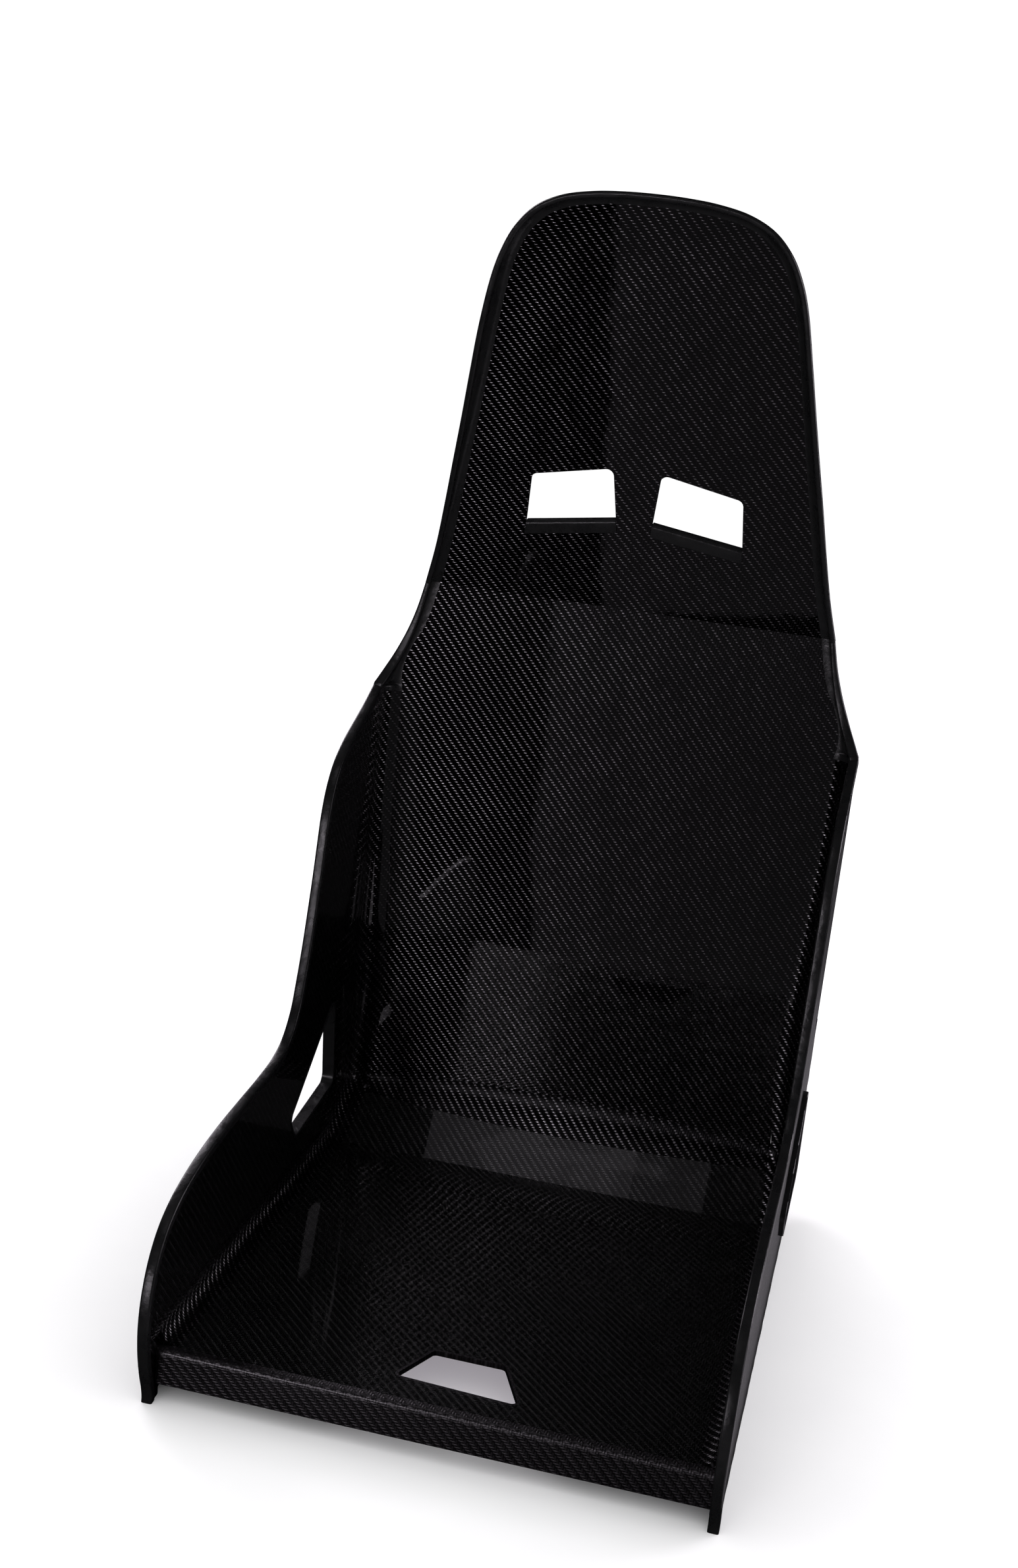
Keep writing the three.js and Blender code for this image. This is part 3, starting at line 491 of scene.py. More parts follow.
def grid_faces(rows, columns, offset, flip):
    faces = []
    for r in range(rows - 1):
        for c in range(columns - 1):
            a = offset + r * columns + c
            quad = (a, a + 1, a + columns + 1, a + columns)
            faces.append(quad[::-1] if flip else quad)
    return faces


def slab(name, inner, outer, cloth, node, slot, bevel=0.0):
    """Curved skin between two grids of points of equal size."""
    rows, columns = inner.shape[:2]
    size = rows * columns
    faces = grid_faces(rows, columns, 0, False) + grid_faces(rows, columns, size, True)
    border = list(range(columns))
    border += [r * columns + columns - 1 for r in range(1, rows)]
    border += [(rows - 1) * columns + c for c in range(columns - 2, -1, -1)]
    border += [r * columns for r in range(rows - 2, 0, -1)]
    faces += [(b, a, a + size, b + size) for a, b in zip(border, border[1:] + border[:1])]
    points = np.vstack([inner.reshape(-1, 3), outer.reshape(-1, 3)])
    uv = cloth.reshape(-1, 2)
    return make_object(name, points, faces, np.vstack([uv, uv]), node, slot, bevel=bevel)


def tube(name, rings, node, slot, bevel=0.0):
    """Closed section swept along a row of rings, with end caps."""
    rings = np.array(rings)
    count, size = rings.shape[:2]
    faces = []
    for r in range(count - 1):
        for i in range(size):
            j = (i + 1) % size
            faces.append((r * size + i, r * size + j, (r + 1) * size + j, (r + 1) * size + i))
    faces.append(tuple(range(size)))
    faces.append(tuple((count - 1) * size + i for i in reversed(range(size))))
    along = np.concatenate([[0], np.cumsum(np.linalg.norm(np.diff(rings.mean(axis=1), axis=0), axis=1))])
    around = np.concatenate([[0], np.cumsum(np.linalg.norm(np.diff(rings[0], axis=0), axis=1))])
    uv = np.stack(np.meshgrid(around, along), axis=-1).reshape(-1, 2)
    return make_object(name, rings.reshape(-1, 3), faces, uv, node, slot, bevel=bevel)


def along_rows(rows):
    """Distance travelled down the middle of a grid of points, one value per row."""
    middle = rows[:, rows.shape[1] // 2]
    return np.concatenate([[0], np.cumsum(np.linalg.norm(np.diff(middle, axis=0), axis=1))])


def across_columns(rows):
    """Distance travelled across each row of a grid of points."""
    steps = np.linalg.norm(np.diff(rows, axis=1), axis=2)
    return np.concatenate([np.zeros((len(rows), 1)), np.cumsum(steps, axis=1)], axis=1)


# ---- materials

TOW = 0.002
CLOTH_TURN = math.radians(4.0)
RESIN_IOR = 1.5
PEEL_DEPTH = 0.00003
RAW_DARK = (0.006, 0.006, 0.0065)
RAW_DUST = (0.03, 0.03, 0.031)
RAW_SHINE = 0.6
RAW_WEAVE_DEPTH = 0.00012
WRINKLE_DEPTH = 0.0016
GRAIN_DEPTH = 0.0003
EDGE_DARK = (0.0022, 0.0022, 0.0024)
EDGE_LIGHT = (0.006, 0.006, 0.0065)
EDGE_WAVE_DEPTH = 0.0005
EDGE_GRAIN_DEPTH = 0.00004


class Nodes:
    """Short names for building a material's node tree."""

    def __init__(self, name):
        self.material = bpy.data.materials.new(name)
        self.material.use_nodes = True
        self.tree = self.material.node_tree
        self.shader = self.tree.nodes["Principled BSDF"]

    def add(self, kind, **settings):
        node = self.tree.nodes.new(kind)
        for key, value in settings.items():
            setattr(node, key, value)
        return node

    def link(self, source, socket):
        if isinstance(source, (int, float)):
            socket.default_value = source
        else:
            self.tree.links.new(source, socket)

    def math(self, operation, a, b=0.0, c=0.0):
        node = self.add("ShaderNodeMath", operation=operation)
        for value, socket in zip((a, b, c), node.inputs):
            self.link(value, socket)
        return node.outputs[0]

    def times(self, a, b):
        return self.math("MULTIPLY", a, b)

    def plus(self, a, b):
        return self.math("ADD", a, b)

    def noise(self, vector, scale, detail=2.0, roughness=0.5):
        node = self.add("ShaderNodeTexNoise")
        self.link(vector, node.inputs["Vector"])
        node.inputs["Scale"].default_value = scale
        node.inputs["Detail"].default_value = detail
        node.inputs["Roughness"].default_value = roughness
        return node.outputs["Fac"]

    def remap(self, value, from_low, from_high, to_low, to_high, smooth=False):
        node = self.add("ShaderNodeMapRange")
        node.interpolation_type = "SMOOTHSTEP" if smooth else "LINEAR"
        for number, source in enumerate((value, from_low, from_high, to_low, to_high)):
            self.link(source, node.inputs[number])
        return node.outputs[0]

    def bump(self, height, distance, strength=1.0, under=None):
        node = self.add("ShaderNodeBump")
        node.inputs["Strength"].default_value = strength
        node.inputs["Distance"].default_value = distance
        self.link(height, node.inputs["Height"])
        if under is not None:
            self.link(under, node.inputs["Normal"])
        return node.outputs["Normal"]

    def settings(self, **values):
        """Constant values on the shader, by socket name with spaces as underscores."""
        for key, value in values.items():
            self.shader.inputs[key.replace("_", " ")].default_value = value

    def colour(self, factor, dark, light):
        node = self.add("ShaderNodeMix", data_type="RGBA")
        self.link(factor, node.inputs[0])
        node.inputs[6].default_value = (*dark, 1)
        node.inputs[7].default_value = (*light, 1)
        return node.outputs[2]

    def cloth(self):
        uv = self.add("ShaderNodeUVMap", uv_map="cloth")
        turn = self.add("ShaderNodeMapping")
        turn.inputs["Rotation"].default_value = (0, 0, CLOTH_TURN)
        turn.inputs["Scale"].default_value = (1 / TOW, 1 / TOW, 1)
        self.link(uv.outputs[0], turn.inputs["Vector"])
        return turn.outputs[0]

    def place(self):
        return self.add("ShaderNodeTexCoord").outputs["Object"]


def hump(n, position):
    """1 in the middle of a unit interval, 0 at its ends."""
    centred = n.math("MULTIPLY_ADD", position, 2.0, -1.0)
    return n.math("SUBTRACT", 1.0, n.math("POWER", n.math("ABSOLUTE", centred), 2.0))


def twill(n):
    """2x2 twill: brightness of the weft floats, of the warp floats, and the height of the cloth."""
    cloth = n.cloth()
    wander = n.noise(cloth, 0.05, 1.0)
    split = n.add("ShaderNodeSeparateXYZ")
    n.link(cloth, split.inputs[0])
    across = n.plus(split.outputs[0], n.remap(wander, 0, 1, -0.5, 0.5))
    upward = n.plus(split.outputs[1], n.remap(wander, 0, 1, 0.6, -0.6))
    column, row = n.math("FLOOR", across), n.math("FLOOR", upward)
    u, v = n.math("SUBTRACT", across, column), n.math("SUBTRACT", upward, row)
    phase = n.math("FLOORED_MODULO", n.plus(column, row), 4.0)
    warp_on_top = n.math("GREATER_THAN", phase, 1.5)
    weft_on_top = n.math("SUBTRACT", 1.0, warp_on_top)
    weft_along = n.times(n.plus(phase, u), 0.5)
    warp_along = n.times(n.plus(n.math("SUBTRACT", phase, 2.0), v), 0.5)
    weft_crown, warp_crown = hump(n, v), hump(n, u)
    glint = n.times(n.math("POWER", hump(n, weft_along), 4.0), weft_crown)
    weft = n.times(glint, weft_on_top)
    warp = n.times(n.times(hump(n, warp_along), warp_crown), warp_on_top)
    height = n.plus(n.times(weft_crown, weft_on_top), n.times(warp_crown, warp_on_top))
    float_number = n.add("ShaderNodeCombineXYZ")
    n.link(n.math("FLOOR", n.times(n.plus(column, row), 0.25)), float_number.inputs[0])
    n.link(column, float_number.inputs[1])
    scatter = n.add("ShaderNodeTexWhiteNoise", noise_dimensions="2D")
    n.link(float_number.outputs[0], scatter.inputs["Vector"])
    return cloth, weft, warp, height, scatter.outputs["Value"]


def twill_material(name, glint, ground, metallic, roughness, coat, relief, sheen=0.01):
    """Woven cloth under resin; coat is the weight and the roughness of the resin's surface."""
    n = Nodes(name)
    cloth, weft, warp, height, scatter = twill(n)
    stretch = n.add("ShaderNodeMapping")
    stretch.inputs["Scale"].default_value = (0.6, 9.0, 1.0)
    n.link(cloth, stretch.inputs["Vector"])
    fibres = n.remap(n.noise(stretch.outputs[0], 1.0, 3.0, 0.6), 0.3, 0.7, 0.75, 1.15)
    patches = n.remap(n.noise(cloth, 0.03, 3.0, 0.55), 0.3, 0.7, 0.72, 1.15)
    dots = n.times(weft, n.remap(scatter, 0, 1, 0.6, 1.15))
    dots = n.times(n.times(dots, patches), fibres)
    amount = n.plus(dots, n.times(n.times(warp, fibres), sheen))
    n.link(n.colour(n.math("MINIMUM", amount, 1.0), ground, glint), n.shader.inputs["Base Color"])
    n.settings(Metallic=metallic, Coat_Weight=coat[0], Coat_Roughness=coat[1], Coat_IOR=RESIN_IOR)
    n.link(n.remap(scatter, 0, 1, roughness - 0.05, roughness + 0.06), n.shader.inputs["Roughness"])
    n.link(n.bump(height, relief * MM), n.shader.inputs["Normal"])
    place = n.place()
    peel = n.plus(n.noise(place, 90.0, 3.0), n.times(n.noise(place, 600.0, 1.0), 0.05))
    n.link(n.bump(peel, PEEL_DEPTH), n.shader.inputs["Coat Normal"])
    return n.material


def raw_material(name):
    """Outer face of the laminate: satin, wrinkled by the bag, with patches of dust scattered at random."""
    n = Nodes(name)
    cloth, weft, warp, height, scatter = twill(n)
    place = n.place()
    wrinkle = n.add("ShaderNodeTexVoronoi", feature="SMOOTH_F1")
    warped = n.add("ShaderNodeVectorMath", operation="MULTIPLY_ADD")
    drift = n.add("ShaderNodeTexNoise")
    drift.inputs["Scale"].default_value = 45.0
    n.link(place, drift.inputs["Vector"])
    n.link(drift.outputs["Color"], warped.inputs[0])
    warped.inputs[1].default_value = (0.02, 0.02, 0.02)
    n.link(place, warped.inputs[2])
    n.link(warped.outputs[0], wrinkle.inputs["Vector"])
    wrinkle.inputs["Scale"].default_value = 120.0
    ridges = n.math("POWER", wrinkle.outputs["Distance"], 1.5)
    grain = n.noise(place, 900.0, 4.0, 0.65)
    dust = n.remap(n.noise(place, 35.0, 5.0, 0.6), 0.45, 0.75, 0.0, 1.0, smooth=True)
    shade = n.plus(n.times(grain, 0.5), n.times(dust, 0.5))
    n.link(n.colour(shade, RAW_DARK, RAW_DUST), n.shader.inputs["Base Color"])
    n.link(n.remap(grain, 0.3, 0.7, 0.34, 0.6), n.shader.inputs["Roughness"])
    n.settings(Specular_IOR_Level=RAW_SHINE)
    low = n.bump(height, RAW_WEAVE_DEPTH)
    middle = n.bump(ridges, WRINKLE_DEPTH, 0.8, low)
    n.link(n.bump(grain, GRAIN_DEPTH, 0.6, middle), n.shader.inputs["Normal"])
    return n.material


def edge_material(name):
    """Dark resin-rich rim, sanded and lacquered, a little scuffed."""
    n = Nodes(name)
    place = n.place()
    cloud = n.noise(place, 60.0, 4.0, 0.6)
    scuff = n.remap(n.noise(place, 420.0, 6.0, 0.7), 0.6, 0.8, 0.0, 1.0, smooth=True)
    n.link(n.colour(cloud, EDGE_DARK, EDGE_LIGHT), n.shader.inputs["Base Color"])
    rough = n.plus(n.remap(cloud, 0.3, 0.7, 0.22, 0.36), n.times(scuff, 0.18))
    n.link(rough, n.shader.inputs["Roughness"])
    low = n.bump(n.noise(place, 110.0, 3.0), EDGE_WAVE_DEPTH)
    n.link(n.bump(n.noise(place, 1500.0, 3.0), EDGE_GRAIN_DEPTH, 1.0, low), n.shader.inputs["Normal"])
    return n.material


FIBRE = (0.75, 0.73, 0.75)
# painted shade and painted light for the pan and ramp: their fibre glints painted dim, their resin ground
# painted a little lighter
SHADE_PAINTED_FIBRE = (0.12, 0.12, 0.12)
RESIN = (0.008, 0.008, 0.0085)
LIGHT_PAINTED_RESIN = (0.013, 0.013, 0.0135)
SATIN_FIBRE = (0.26, 0.25, 0.26)
SATIN_RESIN = (0.085, 0.081, 0.085)
CLEAR_COAT = (1.0, 0.03)
SOFT_COAT = (1.0, 0.14)
DULL_COAT = (0.15, 0.3)
SATIN_COAT = (0.55, 0.2)
MATERIALS = {
    "gloss_twill": twill_material("gloss_twill", FIBRE, RESIN, 1.0, 0.2, CLEAR_COAT, 0.6),
    # copy of gloss_twill for the pan and ramp, with painted shade on the fibre glints and a lighter painted
    # resin ground
    "gloss_twill_deep": twill_material("gloss_twill_deep", SHADE_PAINTED_FIBRE, LIGHT_PAINTED_RESIN, 0.85, 0.2, CLEAR_COAT, 0.6),
    "fillet_twill": twill_material("fillet_twill", FIBRE, RESIN, 1.0, 0.26, SOFT_COAT, 0.6),
    "fillet_twill_dull": twill_material("fillet_twill_dull", FIBRE, RESIN, 1.0, 0.26, DULL_COAT, 0.6),
    "satin_twill": twill_material("satin_twill", SATIN_FIBRE, SATIN_RESIN, 1.0, 0.45, SATIN_COAT, 0.2, 0.3),
    "raw_skin": raw_material("raw_skin"),
    "smooth_edge": edge_material("smooth_edge"),
}


# ---- floor of the bucket


def both(make):
    for side, word in ((1, "right"), (-1, "left")):
        make(side, word)


def pan_outline():
    half, rear = WALL_INNER_X - PAN_FILLET, WALL_INNER_X - CREASE_FILLET
    return [(-half, FOLD_SHELF), (half, FOLD_SHELF), (rear, PAN.length), (-rear, PAN.length)]


GLOSS = (still, soft_waves)
RAW = (rough_waves, still)


def two_skins(facet, outline, holes, inner, outer):
    """Glossy cloth and raw outer skin of a flat part; inner and outer are (piece, node)."""
    plate(
        inner[0], outline, holes, facet.place, -FLOOR_INNER, 0, facet.cloth, inner[1], "gloss_twill", GLOSS
    )
    plate(
        outer[0], outline, holes, facet.place, -FLOOR_TOTAL, -FLOOR_INNER - SKIN_GAP, facet.cloth, outer[1],
        "raw_skin", RAW, SKIN_SPACING,
    )


crotch_hole = rounded(grown(CROTCH_SLOT, CROTCH_EDGE), CROTCH_CORNER + CROTCH_EDGE)
two_skins(
    PAN, pan_outline(), [crotch_hole], ("pan_cloth", "base_pan"), ("pan_underside", "base_outer_skin")
)
plate(
    "crotch_slot_collar", crotch_hole, [rounded(CROTCH_SLOT, CROTCH_CORNER)], PAN.place,
    -FLOOR_TOTAL - CROTCH_EDGE_PROUD, CROTCH_EDGE_PROUD, PAN.cloth, "crotch_slot_edge", "satin_twill",
    bevel=0.5,
)


def arched(half, reach, towards):
    xs = np.linspace(-half, half, BAND_COLUMNS + 1)
    return [(x, reach + towards * band_tangent(x)) for x in xs]


ramp_outline = [(-(WALL_INNER_X - CREASE_FILLET), 0), (WALL_INNER_X - CREASE_FILLET, 0)]
ramp_outline += arched(BAND_HALF, RAMP.length, -1)[::-1]
plate(
    "ramp_cloth", ramp_outline, [], RAMP.place, -FLOOR_TOTAL, 0, RAMP.cloth, "rear_ramp", "gloss_twill",
    (rough_waves, soft_waves),
)


def arc_grid(extra):
    xs = np.linspace(-BAND_HALF, BAND_HALF, BAND_COLUMNS + 1)
    grid = np.zeros((len(xs), BAND_STEPS + 1, 3))
    for i, x in enumerate(xs):
        tangent = band_tangent(x)
        radius = tangent / math.tan(FOOT_HALF)
        y, z = arc_centre(tangent, radius)
        for k in range(BAND_STEPS + 1):
            angle = lerp(RAMP_ANGLE, BACK_ANGLE, k / BAND_STEPS) - math.pi / 2
            grid[i, k] = (x, *point_on((y, z), angle, radius + extra))
    return grid


band_inner, band_outer = arc_grid(0), arc_grid(FLOOR_TOTAL)
band_cloth = np.zeros((*band_inner.shape[:2], 2))
band_cloth[..., 0] = band_inner[..., 0]
band_cloth[..., 1] = across_columns(band_inner) + BACK.travelled - BAND_TANGENT_MIDDLE
slab("ramp_to_back_band", band_inner, band_outer, band_cloth, "ramp_band", "fillet_twill")


# ---- back


SHOULDER_ROWS = catmull_rom(SHOULDER_RIM + SHOULDER_END, SHOULDER_SAMPLES)


def flat_half(height):
    lowest = SHOULDER_END[-1][0]
    if height <= lowest:
        return WALL_INNER_X - back_fillet(height)
    rim = table(SHOULDER_ROWS, height)
    blend = min(1.0, (height - lowest) / (SHOULDER_RIM[2][0] - lowest))
    return lerp(WALL_INNER_X - back_fillet(lowest), rim - FLANGE_WIDTH, blend)


def back_outline():
    lowest = BACK_FOOT[1] + BAND_TANGENT_EDGE * math.sin(BACK_ANGLE)
    heights = [lowest, *BACK_LEVELS, *[row[0] for row in SHOULDER_ROWS[::-1]]]
    side = [(flat_half(h), min(back_distance(h), BACK.length)) for h in heights]
    bottom = arched(side[0][0], 0, 1)[1:-1]
    return side + [(-x, s) for x, s in side[::-1]] + bottom


two_skins(
    BACK, back_outline(), [], ("back_cloth", "lower_back_panel"), ("back_outside", "lower_back_outer_skin")
)


# ---- head

right_rim = [tuple(p) for p in HEAD_RIM]
HEAD_PATH = catmull_rom(right_rim + [(-x, s, rise) for x, s, rise in right_rim[-2::-1]], HEAD_SAMPLES)
HEAD_NORMALS = path_normals(HEAD_PATH)


def head_outline(inset):
    loop = HEAD_PATH[:, :2] - HEAD_NORMALS * inset
    loop[0, 1] = loop[-1, 1] = 0
    return loop


def shoulder_hole(side):
    """The slot with its sides carried on downwards, to make room for the lip in its foot."""
    inner_foot, outer_foot, outer_top, inner_top = np.array(SHOULDER_SLOT, float)
    corners = [outer_top, inner_top]
    for foot, top in ((inner_foot, inner_top), (outer_foot, outer_top)):
        corners.append(foot + (foot - top) * SHOULDER_LIP_HEIGHT / (top[1] - foot[1]))
    radii = [SHOULDER_CORNER] * 2 + [SHOULDER_FOOT_CORNER] * 2
    return rounded(np.array(corners) * (side, 1), radii)


two_skins(
    HEAD, head_outline(FLANGE_WIDTH), [shoulder_hole(1), shoulder_hole(-1)],
    ("head_cloth", "head_panel"), ("head_outside", "head_outer_skin"),
)


def quarter(start, end, rise, lift=0.0):
    """Quarter-ellipse section as (across, rise) pairs."""
    phi = np.linspace(0, math.pi / 2, FILLET_STEPS + 1)
    return joined(lerp(start, end, np.sin(phi)), (rise + lift) * (1 - np.cos(phi)) - lift)


def head_strip(start, end, lift):
    grid = np.zeros((len(HEAD_PATH), FILLET_STEPS + 1, 3))
    for i, p in enumerate(HEAD_PATH):
        rise = p[2] - HEAD_BEAD[1]
        for k, (across, n) in enumerate(quarter(start, end, rise, lift)):
            s = max(p[1] + HEAD_NORMALS[i, 1] * across, 0.0)
            grid[i, k] = HEAD.place(p[0] + HEAD_NORMALS[i, 0] * across, s, n)
    return grid


flange_inner = head_strip(-FLANGE_WIDTH, -HEAD_BEAD[0] + BEAD_PROUD, 0.0)
flange_outer = head_strip(-FLANGE_WIDTH, -BEAD_PROUD, FLOOR_TOTAL)
flange_cloth = joined(flange_inner[..., 0], flange_inner[..., 2] + HEAD.travelled)
slab("head_turned_edge", flange_inner, flange_outer, flange_cloth, "head_flange", "smooth_edge")


def lip_section():
    """Lip's section as (forwards, up) pairs: a flat top with two rounded edges."""
    turns = [SHOULDER_LIP_ROUND * (1 - np.array(t)) for t in round_turns(6)]
    front = [(SHOULDER_LIP_FRONT - a, -b) for a, b in turns]
    rear = [(a - SHOULDER_LIP_BACK, -b) for a, b in turns[::-1]]
    foot = -SHOULDER_LIP_HEIGHT
    return [(SHOULDER_LIP_FRONT, foot), *front, *rear, (-SHOULDER_LIP_BACK, foot)]


def slot_lip(side, word):
    """Rolled lip that fills the foot of the slot from side to side."""
    (x0, s0), (x1, s1), outer_top, inner_top = SHOULDER_SLOT
    slope = (s1 - s0) / (x1 - x0)
    inner_lean = (inner_top[0] - x0) / (inner_top[1] - s0)
    outer_lean = (outer_top[0] - x1) / (outer_top[1] - s1)
    rings = []
    for t in np.linspace(0, 1, LIP_COLUMNS):
        ring = []
        for n, up in lip_section():
            first = x0 + SHOULDER_LIP_MARGIN + inner_lean * up
            last = x1 - SHOULDER_LIP_MARGIN + outer_lean * up
            x = lerp(first, last, t)
            ring.append(HEAD.place(side * x, s0 + slope * (x - x0) + up, n))
        rings.append(ring)
    tube(f"shoulder_slot_roll_{word}", rings, f"shoulder_slot_lip_{word}", "smooth_edge", bevel=0.4)


both(slot_lip)


# ---- fillets beside the floor and the back


def fillet_rows(stations, wall, side):
    """Inner and outer grids of a fillet; each station is (profile point, angle, stretch, radius)."""
    inner, outer = [], []
    for point, angle, stretch, radius in stations:
        for rows, reach, lift in ((inner, 0.0, 0.0), (outer, wall, FLOOR_TOTAL)):
            section = quarter(WALL_INNER_X - radius, WALL_INNER_X + reach, radius, lift)
            row = []
            for x, n in section:
                rise = n * stretch
                row.append((side * x, point[0] - rise * math.sin(angle), point[1] + rise * math.cos(angle)))
            rows.append(row)
    return np.array(inner), np.array(outer)


def back_station(height):
    return point_on(BACK_FOOT, BACK_ANGLE, back_distance(height)), BACK_ANGLE, 1, back_fillet(height)


def band_station(t):
    """Profile point on the edge of the band between ramp and back, t from 0 to 1."""
    bend = BAND_TANGENT_EDGE / math.tan(FOOT_HALF)
    angle = lerp(RAMP_ANGLE, BACK_ANGLE, t)
    return point_on(arc_centre(BAND_TANGENT_EDGE, bend), angle - math.pi / 2, bend), angle, 1, FOOT_FILLET


def ramp_station(t):
    """Profile point at a share of the ramp; the fillet grows evenly until the band begins."""
    grown_share = t * RAMP.length / (RAMP.length - BAND_TANGENT_EDGE)
    radius = lerp(CREASE_FILLET, FOOT_FILLET, grown_share)
    return point_on(PAN_REAR, RAMP_ANGLE, RAMP.length * t), RAMP_ANGLE, 1, radius


CREASE_STATION = (PAN_REAR, PAN_ANGLE + CREASE_HALF, 1 / math.cos(CREASE_HALF), CREASE_FILLET)


def fillet_cloth(inner, side, travelled):
    across = inner[:, :1, 0] + side * across_columns(inner)
    along = travelled + along_rows(inner)
    return joined(across, along[:, None])


def base_fillet(side, word):
    stations = []
    for t in np.linspace(0, 1, PAN_FILLET_ROWS)[:-1]:
        point = point_on(PAN_FRONT, PAN_ANGLE, lerp(FOLD_SHELF, PAN.length, t))
        stations.append((point, PAN_ANGLE, 1, lerp(PAN_FILLET, CREASE_FILLET, t)))
    inner, outer = fillet_rows([*stations, CREASE_STATION], WALL_SKIN, side)
    cloth = fillet_cloth(inner, side, FOLD_SHELF)
    slab(f"pan_fillet_{word}", inner, outer, cloth, f"base_fillet_{word}", "fillet_twill")


def corner_fillet(side, word):
    stations = [CREASE_STATION, *[ramp_station(t) for t in RAMP_FILLET_STOPS]]
    stations += [band_station(t) for t in np.linspace(0, 1, BAND_STEPS + 1)]
    stations += [back_station(h) for h in np.linspace(BACK_FILLET[0][0], SPLIT_HEIGHT, CORNER_FILLET_ROWS)]
    inner, outer = fillet_rows(stations, WALL_SKIN, side)
    cloth = fillet_cloth(inner, side, PAN.length)
    slab(f"corner_fillet_{word}_cloth", inner, outer, cloth, f"corner_fillet_{word}", "fillet_twill")


def back_side_fillet(side, word):
    heights = np.linspace(SPLIT_HEIGHT, SHOULDER_END[-1][0], BACK_FILLET_ROWS)
    inner, outer = fillet_rows([back_station(h) for h in heights], WALL_OUTER_X - WALL_INNER_X, side)
    cloth = fillet_cloth(inner, side, BACK.travelled + back_distance(SPLIT_HEIGHT))
    slab(f"back_side_fillet_{word}", inner, outer, cloth, f"back_fillet_{word}", "gloss_twill")


both(base_fillet)
both(corner_fillet)
both(back_side_fillet)


# ---- shoulders


def shoulder_blend(height):
    top, bottom = SHOULDER_RIM[0][0], SHOULDER_RIM[-1][0]
    t = min(1.0, max(0.0, (top - height) / (top - bottom)))
    return t * t * (3 - 2 * t)


def bead_size(blend):
    return lerp(HEAD_BEAD[0], WALL_BEAD[0], blend), lerp(HEAD_BEAD[1], WALL_BEAD[1], blend)


def place_shoulder(height, x, n):
    lean = KINK_HALF * min(1.0, max(0.0, 1 - (BACK_KINK[1] - height) / SHOULDER_TOP_MITRE))
    y, z = point_on(BACK_FOOT, BACK_ANGLE, min(back_distance(height), BACK.length))
    rise = n / math.cos(lean)
    angle = BACK_ANGLE + lean
    return np.array([x, y - rise * math.sin(angle), z + rise * math.cos(angle)])


def shoulder_fillet(side, word):
    inner, outer = [], []
    for i, (height, half, rise) in enumerate(SHOULDER_ROWS):
        blend = shoulder_blend(height)
        above, below = SHOULDER_ROWS[max(0, i - 1)], SHOULDER_ROWS[min(len(SHOULDER_ROWS) - 1, i + 1)]
        depth = bead_size(blend)[1] * math.hypot(1, (below[2] - above[2]) / (below[0] - above[0]))
        top = min(back_fillet(height), rise - depth)
        reach = half - lerp(HEAD_BEAD[0] - BEAD_PROUD, RIM_X - WALL_INNER_X, blend)
        for rows, end, lift in ((inner, reach, 0.0), (outer, half - BEAD_PROUD, FLOOR_TOTAL)):
            section = quarter(flat_half(height), end, top, lift)
            rows.append([place_shoulder(height, side * x, n) for x, n in section])
    inner, outer = np.array(inner), np.array(outer)
    cloth = fillet_cloth(inner, side, BACK.travelled)
    slab(f"shoulder_turned_edge_{word}", inner, outer, cloth, f"shoulder_fillet_{word}", "smooth_edge")


both(shoulder_fillet)


# ---- side walls

WALL_PATH = catmull_rom(WALL_RIM, WALL_SAMPLES)
WALL_NORMALS = path_normals(WALL_PATH)
# the rim's path is split at the hip, the first low point after its start at the shoulder
HIP_SEARCH = WALL_SAMPLES // 5
SPLIT = next(i for i, p in enumerate(WALL_PATH) if i > HIP_SEARCH and p[1] < SPLIT_HEIGHT + HIP_SPLIT)


def rim_inset(inset):
    return WALL_PATH - WALL_NORMALS * inset


def wall_foot():
    """Upper edge of the fillets along the floor and the back, as (y, z)."""
    stations = [(point_on(PAN_FRONT, PAN_ANGLE, FOLD_SHELF), PAN_ANGLE, 1, PAN_FILLET), CREASE_STATION]
    stations.append(ramp_station(RAMP_BLEND))
    stations += [band_station(t) for t in np.linspace(0, 1, BAND_FOOT_ROWS)]
    stations += [back_station(height) for height in (*BACK_LEVELS, SHOULDER_END[-1][0])]
    upright = math.pi / 2
    return [point_on(point, angle + upright, r * stretch) for point, angle, stretch, r in stations]


WALL_FOOT = wall_foot()
FOOT_CORNER = next(i for i, p in enumerate(WALL_FOOT) if p[1] > SPLIT_HEIGHT - 1)
LAP_HOLE = rounded(grown(LAP_SLOT, LAP_COLLAR), LAP_CORNER + LAP_COLLAR)


def side_plate_outline():
    rim = rim_inset(WALL_BEAD[1] - RIM_OVERLAP)[SPLIT:]
    lower = [list(p) for p in WALL_FOOT[: FOOT_CORNER + 1]]
    lower[-1][1] = SPLIT_HEIGHT
    leg = [(FOOT_LEG_Y, lower[0][1]), (FOOT_LEG_Y, rim[-1][1])]
    return np.array([*lower[::-1], *leg, *rim[::-1]])


def wing_outline():
    rim = rim_inset(WALL_BEAD[1] - RIM_OVERLAP)[: SPLIT + 1]
    rear = [list(p) for p in WALL_FOOT[FOOT_CORNER:]]
    rear[0][1] = SPLIT_HEIGHT
    clear = [p for p in rim if p[1] < rear[-1][1] - 1 or p[0] < rear[-1][0] - 1]
    return np.array([*rear, *clear])


